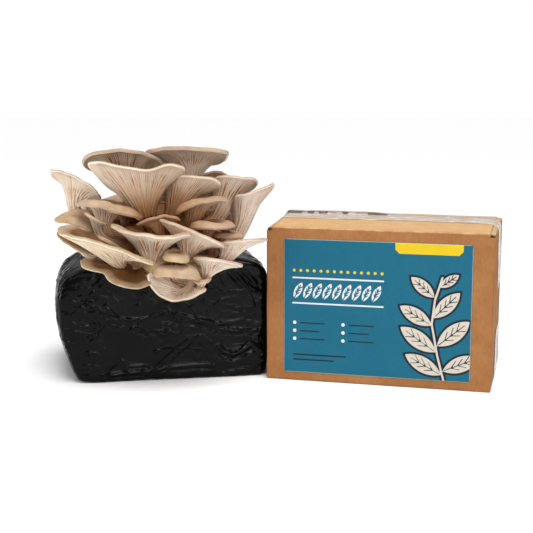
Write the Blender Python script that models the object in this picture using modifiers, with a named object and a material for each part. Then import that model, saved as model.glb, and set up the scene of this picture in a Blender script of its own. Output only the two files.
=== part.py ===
"""Oyster mushroom grow kit: a film-wrapped growing block with its cluster, and its carton.

Metres, +Z up. +X runs along the pair, -Y faces the viewer, and the origin is on the
floor under the middle of the pair. The layout is worked out in millimetres from the
carton's lower front left corner and is then shifted to that origin.
"""
import math
from dataclasses import dataclass

import bmesh
import bpy
import numpy as np
from mathutils import Vector

MM = 0.001
GAP = 0.3
MERGE = 0.0001

# Where the pair stands: the layout's corner seen from the middle of the outline
LAYOUT_X = -11.0
LAYOUT_Y = -33.5

# Carton, a taped corrugated box turned a little to the left
CARTON_LENGTH = 219.0
CARTON_DEPTH = 132.0
CARTON_HEIGHT = 152.0
CARTON_TURN = -14.0
BOARD = 3.0
MINOR_FLAP = 60.0
SEAM_WIDTH = 1.6
CARTON_ROUND = 1.2
NOTCH = (6.0, 3.4, 4.0)

# Label on the carton's front, its left lower corner and its size
LABEL_LEFT = 18.0
LABEL_BOTTOM = 9.0
LABEL_WIDTH = 181.0
LABEL_HEIGHT = 132.0
LABEL_THICK = 0.4
LABEL_ROUND = 3.0

# Clear tape over the seam
TAPE_WIDTH = 48.0
TAPE_THICK = 0.2
TAPE_LEFT_DROP = 55.0
TAPE_RIGHT_DROP = 60.0
TAPE_TAB = 50.0
TAPE_TAB_LIFT = 2.0

# Wrapped block, turned a little to the right
BAG_CORNER = (-180.0, -22.0)
BAG_LENGTH = 183.0
BAG_DEPTH = 126.0
BAG_HEIGHT = 123.5
BAG_TURN = 10.2
BAG_EDGE = 0.76
BAG_FOOT_EDGE = 0.93
BAG_SHOULDER = 11.0
BAG_LEFT_BULGE = 25.0
BAG_RIGHT_BULGE = 5.0
BAG_BACK_BULGE = 4.0
BAG_TOP_WIDER = 0.35

# Fused base of the cluster, a mound on the block's top near its front edge
MOUND_CENTRE = (-98.0, 24.0, 124.0)
MOUND_RADII = (58.0, 30.0, 24.0)
MOUND_GAP = 0.4

# Mesh counts for a wide and for a narrow mushroom
WIDE_FROM = 42.0
WIDE_SPOKES = 14
NARROW_SPOKES = 10
STEM_ROWS = 2
BENT_STEM_ROWS = 3
SHARP_BEND = 0.25
GILL_ROWS = 4
TOP_ROWS = 3
HOLLOW_EDGE = 0.22
SPOKE_CROWDING = 0.35
FLESH_OF_REACH = 0.4
FLESH_OF_SPAN = 0.09
SHORT_SPAN = 12.0
LONG_STEM = 25.0
STEM_FROM_AXIS = 55.0
STEM_KNEE = 0.45
STEM_LEAD = 0.4
CAP_PULL = 0.9
SHORT_STEM = 8.0
ROW_CROWDING = 1.25


@dataclass
class Mushroom:
    """One mushroom by its foot on the mound, its neck and four points on its rim, in mm.

    foot is the distance along the mound and the angle up from its front. A ripple is
    (angle round the rim, width in degrees, lift, push outwards).
    """
    name: str
    foot: tuple
    neck: tuple
    front: tuple
    right: tuple
    back: tuple
    left: tuple
    neck_radius: float = 5.0
    foot_radius: float = 5.0
    lip: tuple = (7, 7, 7, 7)
    droop: float = 22.0
    fullness: float = 0.0
    throat: float = 0.35
    flesh: float = 4.0
    rim: float = 1.3
    roll: float = 5.0
    spring: float = 0.4
    lean: tuple = ()
    ripples: tuple = ()


CLUSTER = [
    Mushroom("mushroom_top_left", (-26, 114), (-140, 68, 169), (-147, 26, 222),
             (-106, 50, 208), (-141, 94, 190), (-183, 42, 208), neck_radius=7,
             lip=(8, 8, 8, 8), droop=25, flesh=4.5, rim=3.4, roll=4, ripples=((-60, 25, 0, -2),)),
    Mushroom("mushroom_top_front", (-14, 72), (-119, 20, 158), (-125, -18, 209),
             (-76, 0, 205), (-123, 42, 172), (-171, 3, 209), neck_radius=8,
             lip=(5, 22, 5, 4), droop=8, fullness=0.45, roll=7,
             ripples=((-35, 22, 1.8, 0), (15, 14, -1.5, 0), (40, 15, 2.2, 0),
                      (128, 34, 0, -13))),
    Mushroom("mushroom_top_right", (12, 124), (-78, 78, 184), (-73, 36, 223),
             (-41, 58, 214), (-77, 100, 201), (-120, 50, 217), neck_radius=7,
             lip=(9, 9, 9, 9), droop=18, flesh=5, rim=3.8, roll=4, ripples=((60, 25, 0, 2),)),
    Mushroom("mushroom_centre_fan", (0, 117), (-95, 36, 157), (-82, 8, 199),
             (-46, 10, 191), (-87, 52, 171), (-105, 38, 186), neck_radius=7,
             lip=(7, 14, 5, 5), droop=15, fullness=0.35, flesh=4.5),
    Mushroom("mushroom_centre_cap", (19, 90), (-74, 19, 154), (-61, -14, 176),
             (-38, 2, 176), (-67, 28, 171), (-87, 4, 163), neck_radius=6.5,
             lip=(14, 14, 14, 14), droop=30, fullness=0.1, flesh=6.5, roll=6),
    Mushroom("mushroom_right_high", (34, 104), (-52, 42, 153), (-30, 22, 197),
             (-9, 38, 189), (-38, 74, 173), (-53, 36, 193), neck_radius=7,
             lip=(8, 8, 8, 8), droop=20, fullness=0.45, flesh=4.5, roll=4),
    Mushroom("mushroom_right_fan", (53, 84), (-29, 30, 139), (-13, 6, 184),
             (7, 26, 187), (-25, 56, 155), (-33, 24, 175), neck_radius=6,
             lip=(5, 14, 5, 5), droop=10, fullness=0.25, flesh=3.5, roll=7),
    Mushroom("mushroom_left_fan", (-46, 100), (-192, 48, 157), (-186, 16, 197),
             (-166, 28, 177), (-187, 66, 172), (-215, 34, 200), neck_radius=6,
             lip=(5, 4, 5, 20), droop=10, flesh=3.5),
    Mushroom("mushroom_left_cap", (-26, 56), (-154, 8, 146), (-153, -22, 171),
             (-123, -8, 160), (-150, 28, 167), (-180, -6, 173), neck_radius=6.5,
             lip=(14, 14, 14, 14), droop=32, flesh=6.5, roll=6),
    Mushroom("mushroom_left_small", (-42, 32), (-162, -8, 149), (-163, -32, 163),
             (-154, -22, 156), (-161, -14, 161), (-172, -23, 167), neck_radius=4,
             foot_radius=4, lip=(6, 6, 6, 6), droop=20, fullness=0.2, flesh=2.5),
    Mushroom("mushroom_left_long", (-50, 68), (-174, 18, 144), (-187, -8, 155),
             (-168, 0, 149), (-182, 32, 161), (-205, 8, 157), foot_radius=4.5,
             lip=(10, 10, 10, 10), droop=30, flesh=5),
    Mushroom("mushroom_low_left", (-36, 14), (-140, -34, 123), (-147, -66, 142),
             (-106, -56, 124), (-168, -20, 150), (-195, -36, 150), neck_radius=6.5,
             lip=(7, 10, 7, 12), fullness=0.7, flesh=4.5, ripples=((130, 30, 0, -6),)),
    Mushroom("mushroom_low_front", (-12, 9), (-110, -21, 124), (-110, -60, 151),
             (-71, -52, 150), (-112, -8, 141), (-146, -36, 156), neck_radius=7,
             lip=(7, 12, 7, 12), fullness=0.5, flesh=4.5,
             ripples=((-30, 18, -1.5, 0), (25, 20, -1.5, 0), (135, 25, 0, -4))),
    Mushroom("mushroom_centre_small", (3, 45), (-102, -4, 147), (-99, -20, 163),
             (-84, -8, 158), (-102, 14, 157), (-124, -10, 154), foot_radius=4.5,
             lip=(8, 8, 8, 8), droop=25, fullness=0.3),
    Mushroom("mushroom_centre_low", (26, 28), (-75, -20, 129), (-67, -44, 151),
             (-41, -38, 137), (-74, -4, 144), (-101, -24, 160), neck_radius=6.5,
             lip=(8, 12, 7, 10), droop=25, fullness=0.6, flesh=4.5),
    Mushroom("mushroom_right_cap", (35, 50), (-60, 1, 142), (-51, -28, 153),
             (-32, -8, 152), (-53, 18, 150), (-72, -8, 151), neck_radius=4.5,
             foot_radius=4.5, lip=(12, 12, 12, 12), droop=34, flesh=6),
    Mushroom("mushroom_right_small", (47, 64), (-45, 10, 137), (-37, -18, 143),
             (-23, 0, 141), (-39, 14, 143), (-51, -4, 142), neck_radius=4,
             foot_radius=4, lip=(9, 9, 9, 9), droop=28),
    Mushroom("mushroom_right_low", (51, 26), (-39, -20, 124), (-24, -40, 143),
             (0, -22, 141), (-28, -10, 138), (-45, -26, 138), neck_radius=6,
             foot_radius=4.5, lip=(7, 14, 7, 6), droop=20, fullness=0.5),
    Mushroom("mushroom_front_small", (8, 24), (-86, -36, 125), (-84, -65, 130),
             (-75, -52, 129), (-86, -29, 132), (-92, -52, 131), neck_radius=3.2,
             foot_radius=3.2, lip=(9, 9, 9, 9), droop=42, throat=0.2, flesh=3.5,
             spring=0.1, lean=(0, -0.6, 0.8)),
    Mushroom("mushroom_low_right", (43, 12), (-57, -26, 110), (-47, -50, 126),
             (-24, -30, 117), (-56, -19, 118), (-69, -36, 125), neck_radius=5,
             foot_radius=4.5, lip=(8, 10, 6, 6), droop=24, fullness=0.6, flesh=4,
             spring=0.1),
    Mushroom("mushroom_front_cap", (0, 10), (-87, -31, 109), (-82, -68, 114),
             (-63, -50, 110), (-86, -24, 118), (-105, -52, 114), neck_radius=4.5,
             foot_radius=4.5, lip=(16, 16, 16, 16), droop=40, throat=0.2, flesh=5.5,
             spring=0.1, lean=(0, -0.6, 0.8)),
    Mushroom("mushroom_lowest", (13, 4), (-73, -24, 99), (-93, -50, 91),
             (-58, -38, 97), (-84, -26, 99), (-110, -46, 115), neck_radius=4,
             foot_radius=4.5, lip=(6, 6, 6, 6), droop=5, flesh=3, spring=0.2,
             lean=(-0.3, -0.6, -0.9), ripples=((-122, 28, 0, -5),)),
    Mushroom("mushroom_low_droop", (-24, 11), (-130, -38, 102), (-126, -62, 104),
             (-114, -38, 109), (-146, -29, 111), (-174, -44, 125), neck_radius=4.5,
             foot_radius=4, lip=(10, 10, 10, 10), droop=15, flesh=3, spring=0.27,
             lean=(-0.1, -0.5, 0.8), ripples=((-42, 12, 0, -3),)),
    Mushroom("mushroom_left_under", (-49, 22), (-175, -14, 131), (-186, -36, 138),
             (-169, -26, 130), (-182, 2, 144), (-199, -20, 149), neck_radius=4.5,
             foot_radius=4, lip=(5, 5, 5, 5), droop=0, flesh=3.5),
    Mushroom("mushroom_front_tip", (27, 6), (-61, -36, 103.5), (-60, -52, 105),
             (-53, -39, 107), (-65, -28, 107), (-69, -41, 106), neck_radius=3.2,
             foot_radius=3.2, lip=(5, 5, 5, 5), droop=15, fullness=0.2, flesh=3,
             spring=0.1, lean=(0.2, -0.6, 0.8)),
    Mushroom("mushroom_right_behind", (50, 118), (-48, 78, 165), (-54, 54, 199),
             (-41, 62, 195), (-53, 92, 189), (-67, 62, 193), neck_radius=4.5,
             foot_radius=4.5, flesh=3, roll=4),
    Mushroom("mushroom_back_left", (-40, 140), (-150, 84, 148), (-156, 126, 168),
             (-184, 92, 160), (-156, 70, 163), (-126, 110, 166), neck_radius=6,
             lip=(8, 8, 8, 8), droop=20, fullness=0.3, flesh=4.5),
    Mushroom("mushroom_back_middle", (-8, 150), (-100, 80, 152), (-100, 128, 178),
             (-124, 112, 176), (-102, 70, 184), (-70, 112, 178), neck_radius=6,
             lip=(8, 8, 8, 8), droop=20, fullness=0.7, flesh=4.5),
    Mushroom("mushroom_back_right", (26, 160), (-58, 96, 144), (-50, 128, 160),
             (-76, 112, 158), (-56, 86, 160), (-28, 106, 160), neck_radius=6,
             lip=(10, 10, 10, 10), droop=25, fullness=0.2, flesh=5),
    Mushroom("mushroom_back_low", (-24, 168), (-122, 72, 134), (-126, 102, 141),
             (-146, 86, 140), (-126, 64, 145), (-112, 90, 140), neck_radius=4.5,
             foot_radius=4.5, lip=(9, 9, 9, 9), droop=30),
    Mushroom("mushroom_inner", (-26, 76), (-140, 26, 149), (-138, 14, 161),
             (-131, 32, 156), (-140, 42, 161), (-149, 26, 160), neck_radius=4,
             foot_radius=4, lip=(6, 6, 6, 6), droop=20, fullness=0.3),
]


def clear_scene():
    """Empty the scene of every object."""
    for obj in list(bpy.data.objects):
        bpy.data.objects.remove(obj, do_unlink=True)


def new_collection(name):
    """Make a collection in the scene."""
    collection = bpy.data.collections.new(name)
    bpy.context.scene.collection.children.link(collection)
    return collection


def material(name, colour, roughness, alpha=1.0):
    """A plain Principled material."""
    mat = bpy.data.materials.new(name)
    mat.use_nodes = True
    shader = mat.node_tree.nodes["Principled BSDF"]
    shader.inputs["Base Color"].default_value = (*colour, 1.0)
    shader.inputs["Roughness"].default_value = roughness
    shader.inputs["Metallic"].default_value = 0.0
    shader.inputs["Alpha"].default_value = alpha
    mat.diffuse_color = (*colour, alpha)
    return mat


def add_empty(name, collection, location, turn=0.0, parent=None):
    """An empty that places what is parented to it, location in mm."""
    empty = bpy.data.objects.new(name, None)
    empty.location = Vector(location) * MM
    empty.rotation_euler = (0.0, 0.0, math.radians(turn))
    empty.parent = parent
    collection.objects.link(empty)
    return empty


def add_object(name, bm, collection, parent, mat):
    """Turn a bmesh in mm into an object in metres."""
    bmesh.ops.recalc_face_normals(bm, faces=bm.faces)
    bmesh.ops.scale(bm, vec=(MM, MM, MM), verts=bm.verts)
    mesh = bpy.data.meshes.new(name)
    bm.to_mesh(mesh)
    bm.free()
    mesh.materials.append(mat)
    obj = bpy.data.objects.new(name, mesh)
    obj.parent = parent
    collection.objects.link(obj)
    return obj


def box_mesh(low, high):
    """A box between two corners."""
    bm = bmesh.new()
    bmesh.ops.create_cube(bm, size=1.0)
    low = Vector(low)
    high = Vector(high)
    bmesh.ops.scale(bm, vec=high - low, verts=bm.verts)
    bmesh.ops.translate(bm, vec=(low + high) / 2, verts=bm.verts)
    return bm


def cut(obj, cutter):
    """Take the cutter out of the object."""
    cutter.hide_render = True
    cutter.display_type = "WIRE"
    boolean = obj.modifiers.new(cutter.name, "BOOLEAN")
    boolean.operation = "DIFFERENCE"
    boolean.solver = "EXACT"
    boolean.object = cutter


def unit(vector):
    """The vector at length one."""
    return vector / np.linalg.norm(vector)


def off_axis(vector, axis):
    """The part of a vector that is square to an axis."""
    return vector - np.dot(vector, axis) * axis


def off_line(points, line):
    """The part of each point that is square to a line."""
    return points - (points @ line)[:, None] * line


def mound_point(foot):
    """A point on the mound and the way out from it."""
    along, angle = foot
    centre = np.array(MOUND_CENTRE)
    radii = np.array(MOUND_RADII)
    girth = math.sqrt(1.0 - (along / radii[0]) ** 2)
    turn = math.radians(angle)
    point = np.array([along, -radii[1] * girth * math.cos(turn),
                      radii[2] * girth * math.sin(turn)])
    out = unit(point / radii ** 2)
    return centre + point + out * MOUND_GAP, out


def cap_rim(spec, phi):
    """The rim as a smooth loop through its four points, with its ripples."""
    front, right, back, left = (np.array(p, float) for p in
                                (spec.front, spec.right, spec.back, spec.left))
    centre = (front + right + back + left) / 4
    fore = (front - back) / 2
    side = (right - left) / 2
    twist = (front + back - right - left) / 4
    angle = phi[:, None]
    loop = centre + fore * np.cos(angle) + side * np.sin(angle) + twist * np.cos(2 * angle)
    axis = unit(np.cross(fore, side))
    upward = np.array(spec.lean, float) if spec.lean else centre - np.array(spec.neck, float)
    if np.dot(axis, upward) < 0:
        axis = -axis
    for at, width, lift, push in spec.ripples:
        away = np.abs((phi - math.radians(at) + math.pi) % (2 * math.pi) - math.pi)
        weight = np.exp(-(away / math.radians(width)) ** 2)[:, None]
        out = loop - centre
        out = out / np.linalg.norm(out, axis=1)[:, None]
        loop = loop + weight * (lift * axis + push * out)
    return loop, axis, centre, fore, side


def stem_direction(spec, foot, out, centre, axis):
    """The way the stem points where it meets the cap, never far from the cap's axis."""
    neck = np.array(spec.neck, float)
    length = np.linalg.norm(neck - foot)
    knee = foot + out * length * STEM_KNEE
    own = min(max((length - SHORT_STEM) / LONG_STEM, 0.0), 1.0)
    stem = unit(own * unit(neck - knee) + CAP_PULL * unit(centre - neck))
    if spec.lean:
        stem = unit(np.array(spec.lean, float))
    furthest = math.radians(STEM_FROM_AXIS)
    if np.dot(stem, axis) < math.cos(furthest):
        stem = math.cos(furthest) * axis + math.sin(furthest) * unit(off_axis(stem, axis))
    return stem


def stem_rings(spec, phi, foot, out, stem, first, second):
    """Rings up a bent stem, from the foot to just below the neck."""
    neck = np.array(spec.neck, float)
    length = np.linalg.norm(neck - foot)
    toward = unit(neck - foot)
    bend = min(length / LONG_STEM, 1.0)
    pull = foot + out * length * spec.spring
    lead = neck - unit(toward + bend * (stem - toward)) * length * STEM_LEAD
    hand = np.dot(np.cross(stem, first), second)
    across = first
    rings = []
    count = STEM_ROWS if np.dot(toward, stem) > SHARP_BEND else BENT_STEM_ROWS
    for row in reversed(range(count)):
        t = row / count
        s = 1.0 - t
        middle = s**3 * foot + 3 * s * s * t * pull + 3 * s * t * t * lead + t**3 * neck
        along = unit(s * s * (pull - foot) + 2 * s * t * (lead - pull) + t * t * (neck - lead))
        across = unit(off_axis(across, along))
        beside = hand * np.cross(along, across)
        radius = spec.foot_radius + (spec.neck_radius - spec.foot_radius) * t
        rings.insert(0, middle + radius * (np.cos(phi)[:, None] * across
                                           + np.sin(phi)[:, None] * beside))
    return rings


def lip_lengths(spec, phi):
    """The lip's length round the rim, blended between its four sides."""
    fore, right, back, left = spec.lip
    cosine = np.cos(phi)
    sine = np.sin(phi)
    lengths = (fore * np.maximum(cosine, 0) ** 2 + back * np.minimum(cosine, 0) ** 2
               + right * np.maximum(sine, 0) ** 2 + left * np.minimum(sine, 0) ** 2)
    return lengths[:, None]


def mushroom_rows(spec, spokes):
    """Rings from the foot over the gills to the rim, and back over the top."""
    foot, out = mound_point(spec.foot)
    theta = np.linspace(0.0, 2.0 * math.pi, spokes, endpoint=False)
    phi = theta - SPOKE_CROWDING * np.sin(theta)
    rim, axis, centre, fore, side = cap_rim(spec, phi)
    neck = np.array(spec.neck, float)
    stem = stem_direction(spec, foot, out, centre, axis)
    first = unit(off_axis(fore, stem))
    second = np.cross(stem, first)
    if np.dot(second, side) < 0:
        second = -second
    rows = stem_rings(spec, phi, foot, out, stem, first, second)

    # Gill side, a curve on each spoke from the neck out to the rim
    start = neck + spec.neck_radius * (np.cos(phi)[:, None] * first
                                       + np.sin(phi)[:, None] * second)
    span = np.linalg.norm(rim - start, axis=1)[:, None]
    away = off_line(rim - neck, axis)
    away = away / np.linalg.norm(away, axis=1)[:, None]
    lip = np.minimum(lip_lengths(spec, phi), 0.7 * span)
    near = start + stem * span * spec.throat
    far = rim - away * (lip + 0.1 * span) + axis * lip * math.tan(math.radians(spec.droop))
    straight = np.maximum(spec.fullness, 1.0 - span / SHORT_SPAN)
    near = near + straight * (start + (rim - start) / 3 - near)
    far = far + straight * (start + (rim - start) / 1.5 - far)
    steps = 1 - (1 - np.linspace(0.0, 1.0, GILL_ROWS + 1)) ** ROW_CROWDING
    gills = np.array([(1 - t) ** 3 * start + 3 * (1 - t) ** 2 * t * near
                      + 3 * (1 - t) * t * t * far + t ** 3 * rim for t in steps])
    rows += list(gills)

    # Top side, the gill side lifted by the flesh, which thins out to the rim
    along = np.gradient(gills, axis=0)
    around = np.roll(gills, -1, 1) - np.roll(gills, 1, 1)
    normal = np.cross(around, along)
    normal = normal / np.linalg.norm(normal, axis=2)[:, :, None]
    if (normal[-2] @ axis).mean() < 0:
        normal = -normal
    for t in np.linspace(1.0, HOLLOW_EDGE, TOP_ROWS + 1):
        place = np.interp(t, steps, np.arange(GILL_ROWS + 1))
        low = int(place)
        high = min(low + 1, GILL_ROWS)
        share = place - low
        under = gills[low] * (1 - share) + gills[high] * share
        lift = normal[low] * (1 - share) + normal[high] * share
        lift = lift / np.linalg.norm(lift, axis=1)[:, None]
        inward = np.linalg.norm(under - rim, axis=1)
        thick = spec.rim + (spec.flesh - spec.rim) * (1 - np.exp(-inward / spec.roll))
        reach = np.linalg.norm(off_line(under - neck, stem), axis=1)
        thick = np.minimum(thick, FLESH_OF_REACH * reach)
        thick = np.minimum(thick, spec.rim + FLESH_OF_SPAN * span[:, 0])
        rows.append(under + lift * thick[:, None])
    return rows, foot, rows[-1].mean(0) - stem


def build_mushroom(spec, collection, parent, mat):
    """One mushroom, a loft from its round foot through the gills to its rim and hollow."""
    width = math.dist(spec.left, spec.right)
    spokes = WIDE_SPOKES if width > WIDE_FROM else NARROW_SPOKES
    rows, foot, hollow = mushroom_rows(spec, spokes)
    bm = bmesh.new()
    rings = [[bm.verts.new(point) for point in row] for row in rows]
    foot_vert = bm.verts.new(foot)
    hollow_vert = bm.verts.new(hollow)
    for ring, following in zip(rings, rings[1:]):
        for i in range(spokes):
            j = (i + 1) % spokes
            bm.faces.new((ring[i], ring[j], following[j], following[i]))
    for i in range(spokes):
        j = (i + 1) % spokes
        bm.faces.new((foot_vert, rings[0][j], rings[0][i]))
        bm.faces.new((hollow_vert, rings[-1][i], rings[-1][j]))
    obj = add_object(spec.name, bm, collection, parent, mat)
    obj.data.shade_smooth()
    return obj


def build_mound(collection, parent):
    """The cluster's fused base, a flattened ball cut level just above the block."""
    bm = bmesh.new()
    bmesh.ops.create_uvsphere(bm, u_segments=18, v_segments=12, radius=1.0)
    bmesh.ops.scale(bm, vec=MOUND_RADII, verts=bm.verts)
    bmesh.ops.translate(bm, vec=MOUND_CENTRE, verts=bm.verts)
    cutting = bmesh.ops.bisect_plane(
        bm, geom=bm.verts[:] + bm.edges[:] + bm.faces[:], dist=MERGE,
        plane_co=(0.0, 0.0, BAG_HEIGHT + 2 * GAP), plane_no=(0.0, 0.0, 1.0), clear_inner=True)
    edges = [e for e in cutting["geom_cut"] if isinstance(e, bmesh.types.BMEdge)]
    bmesh.ops.contextual_create(bm, geom=edges)
    mat = material("cluster_base", (0.80, 0.68, 0.52), 0.75)
    obj = add_object("cluster_base", bm, collection, parent, mat)
    obj.data.shade_smooth()


def build_bag(collection, parent):
    """The wrapped block, a box cage with loops near its edges, bulged and rounded."""
    bm = bmesh.new()
    bmesh.ops.create_cube(bm, size=2.0)
    bmesh.ops.subdivide_edges(bm, edges=bm.edges, cuts=3, use_grid_fill=True)
    for vert in bm.verts:
        across, deep, up = (math.copysign(BAG_EDGE, c) if 0.0 < abs(c) < 1.0 else c
                            for c in vert.co)
        if up == -BAG_EDGE:
            up = -BAG_FOOT_EDGE
        belly = (1.0 - up * up) ** 0.5
        x = BAG_LENGTH / 2 * (1.0 + across)
        y = BAG_DEPTH / 2 * (1.0 + deep)
        z = BAG_HEIGHT / 2 * (1.0 + up)
        if across < 0:
            x += BAG_LEFT_BULGE * belly * across * (1.0 + BAG_TOP_WIDER * up)
        else:
            x += BAG_RIGHT_BULGE * belly * across
        y += BAG_BACK_BULGE * belly * max(deep, 0.0)
        if up > 0.0:
            z -= BAG_SHOULDER * across ** 4
        vert.co = (x, y, z)
    mat = material("bag", (0.015, 0.015, 0.017), 0.38)
    obj = add_object("bag", bm, collection, parent, mat)
    smooth = obj.modifiers.new("rounding", "SUBSURF")
    smooth.levels = 1
    smooth.render_levels = 1
    obj.data.shade_smooth()


def build_carton(collection, cutters, parent):
    """The carton, hollow, with inner flaps at its ends and a seam between the outer ones."""
    bm = box_mesh((0, 0, 0), (CARTON_LENGTH, CARTON_DEPTH, CARTON_HEIGHT))
    bmesh.ops.bevel(bm, geom=bm.edges[:], offset=CARTON_ROUND, segments=2, affect="EDGES",
                    profile=0.5)
    mat = material("carton", (0.60, 0.38, 0.20), 0.85)
    carton = add_object("carton", bm, collection, parent, mat)
    inner_low = (BOARD, BOARD, 2 * BOARD)
    inner_high = (CARTON_LENGTH - BOARD, CARTON_DEPTH - BOARD, CARTON_HEIGHT - 2 * BOARD)
    middle_low = (MINOR_FLAP, BOARD, BOARD)
    middle_high = (CARTON_LENGTH - MINOR_FLAP, CARTON_DEPTH - BOARD, CARTON_HEIGHT - BOARD)
    seam_front = (CARTON_DEPTH - SEAM_WIDTH) / 2
    seam_back = (CARTON_DEPTH + SEAM_WIDTH) / 2
    boxes = {
        "cavity": (inner_low, inner_high),
        "cavity_middle": (middle_low, middle_high),
        "seam_top": ((-1, seam_front, CARTON_HEIGHT - BOARD),
                     (CARTON_LENGTH + 1, seam_back, CARTON_HEIGHT + 1)),
        "seam_bottom": ((-1, seam_front, -1), (CARTON_LENGTH + 1, seam_back, BOARD)),
    }
    for end in (0, 1):
        for side in (0, 1):
            x = end * CARTON_LENGTH
            y = BOARD if side == 0 else CARTON_DEPTH - BOARD
            low = (x - NOTCH[0] / 2, y - NOTCH[1] / 2, CARTON_HEIGHT - NOTCH[2])
            high = (x + NOTCH[0] / 2, y + NOTCH[1] / 2, CARTON_HEIGHT + 1)
            boxes[f"notch_{end}_{side}"] = (low, high)
    for name, (low, high) in boxes.items():
        cutter = add_object("cut_" + name, box_mesh(low, high), cutters, parent, mat)
        cut(carton, cutter)


def build_label(collection, parent):
    """The label on the carton's front, a thin sheet with round corners."""
    bm = box_mesh((LABEL_LEFT, -GAP - LABEL_THICK, LABEL_BOTTOM),
                  (LABEL_LEFT + LABEL_WIDTH, -GAP, LABEL_BOTTOM + LABEL_HEIGHT))
    corners = [e for e in bm.edges if abs(e.verts[0].co.y - e.verts[1].co.y) > LABEL_THICK / 2]
    bmesh.ops.bevel(bm, geom=corners, offset=LABEL_ROUND, segments=4, affect="EDGES",
                    profile=0.5)
    mat = material("label", (0.05, 0.22, 0.33), 0.45)
    add_object("label", bm, collection, parent, mat)


def build_tape(collection, parent, mat):
    """The clear strip over the seam and down both ends, a folded ribbon made solid."""
    out = GAP + TAPE_THICK
    path = [(-out, CARTON_HEIGHT - TAPE_LEFT_DROP), (-out, CARTON_HEIGHT + out),
            (CARTON_LENGTH + out, CARTON_HEIGHT + out),
            (CARTON_LENGTH + out, CARTON_HEIGHT - TAPE_RIGHT_DROP)]
    front = (CARTON_DEPTH - TAPE_WIDTH) / 2
    bm = bmesh.new()
    verts = [bm.verts.new((x, front, z)) for x, z in path]
    edges = [bm.edges.new(pair) for pair in zip(verts, verts[1:])]
    ribbon = bmesh.ops.extrude_edge_only(bm, edges=edges)
    moved = [v for v in ribbon["geom"] if isinstance(v, bmesh.types.BMVert)]
    bmesh.ops.translate(bm, vec=(0, TAPE_WIDTH, 0), verts=moved)
    obj = add_object("tape", bm, collection, parent, mat)
    upward = sum(face.normal.z for face in obj.data.polygons)
    solid = obj.modifiers.new("thickness", "SOLIDIFY")
    solid.thickness = TAPE_THICK * MM
    solid.offset = -1.0 if upward > 0 else 1.0
    solid.use_even_offset = True


def build_tape_tab(name, x_low, collection, parent, mat):
    """The end of the lower tape, a flat tab low on one end wall."""
    front = (CARTON_DEPTH - TAPE_WIDTH) / 2
    bm = box_mesh((x_low, front, TAPE_TAB_LIFT),
                  (x_low + TAPE_THICK, front + TAPE_WIDTH, TAPE_TAB_LIFT + TAPE_TAB))
    add_object(name, bm, collection, parent, mat)


def main():
    clear_scene()
    kit = new_collection("oyster_mushroom_grow_kit")
    cutters = new_collection("cutters")
    place = add_empty("kit_place", kit, (LAYOUT_X, LAYOUT_Y, 0.0))
    block_place = add_empty("block_place", kit, (*BAG_CORNER, 0.0), BAG_TURN, place)
    carton_place = add_empty("carton_place", kit, (0.0, 0.0, 0.0), CARTON_TURN, place)
    build_bag(kit, block_place)
    build_mound(kit, place)
    for spec in CLUSTER:
        flesh = material(spec.name, (0.82, 0.70, 0.55), 0.6)
        build_mushroom(spec, kit, place, flesh)
    build_carton(kit, cutters, carton_place)
    build_label(kit, carton_place)
    clear = material("tape", (0.80, 0.76, 0.70), 0.15, alpha=0.4)
    build_tape(kit, carton_place, clear)
    build_tape_tab("tape_tab_left", -GAP - TAPE_THICK, kit, carton_place, clear)
    build_tape_tab("tape_tab_right", CARTON_LENGTH + GAP, kit, carton_place, clear)


main()
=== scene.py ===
"""Looks of the oyster mushroom grow kit: the cluster on its film-wrapped block, and its carton.

The layout is in millimetres from the carton's lower front left corner, as the solids were laid
out, with +X along the pair and -Y to the viewer. Every mesh is written in metres in the frame.
"""
import math
from dataclasses import dataclass

import bmesh
import bpy
import numpy as np
from mathutils import Matrix, Vector, noise


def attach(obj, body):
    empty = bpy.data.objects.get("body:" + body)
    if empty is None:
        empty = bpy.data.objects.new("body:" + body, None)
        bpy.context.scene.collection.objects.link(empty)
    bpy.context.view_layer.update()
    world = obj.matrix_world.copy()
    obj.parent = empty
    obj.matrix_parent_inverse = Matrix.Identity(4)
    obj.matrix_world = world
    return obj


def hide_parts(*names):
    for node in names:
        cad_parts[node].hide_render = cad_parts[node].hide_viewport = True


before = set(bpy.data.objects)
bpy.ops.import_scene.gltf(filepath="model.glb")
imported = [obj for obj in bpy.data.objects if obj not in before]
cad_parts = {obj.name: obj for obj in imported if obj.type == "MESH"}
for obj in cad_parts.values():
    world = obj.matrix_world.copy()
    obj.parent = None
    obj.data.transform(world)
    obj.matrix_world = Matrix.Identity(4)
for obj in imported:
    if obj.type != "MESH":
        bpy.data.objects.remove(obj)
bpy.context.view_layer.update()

MM = 0.001
GAP = 0.3

# Where the pair stands: the layout's corner seen from the middle of the outline
LAYOUT_X = -11.0
LAYOUT_Y = -33.5

# Carton
CARTON_LENGTH = 219.0
CARTON_DEPTH = 132.0
CARTON_HEIGHT = 152.0
CARTON_TURN = -14.0
BOARD = 3.0
SEAM_WIDTH = 1.6

# Label
LABEL_LEFT = 18.0
LABEL_BOTTOM = 9.0
LABEL_WIDTH = 181.0
LABEL_HEIGHT = 132.0
LABEL_THICK = 0.4
LABEL_ROUND = 3.0

# Clear tape
TAPE_WIDTH = 48.0
TAPE_THICK = 0.2
TAPE_LEFT_DROP = 55.0
TAPE_RIGHT_DROP = 60.0
TAPE_TAB = 50.0
TAPE_TAB_LIFT = 2.0

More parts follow.
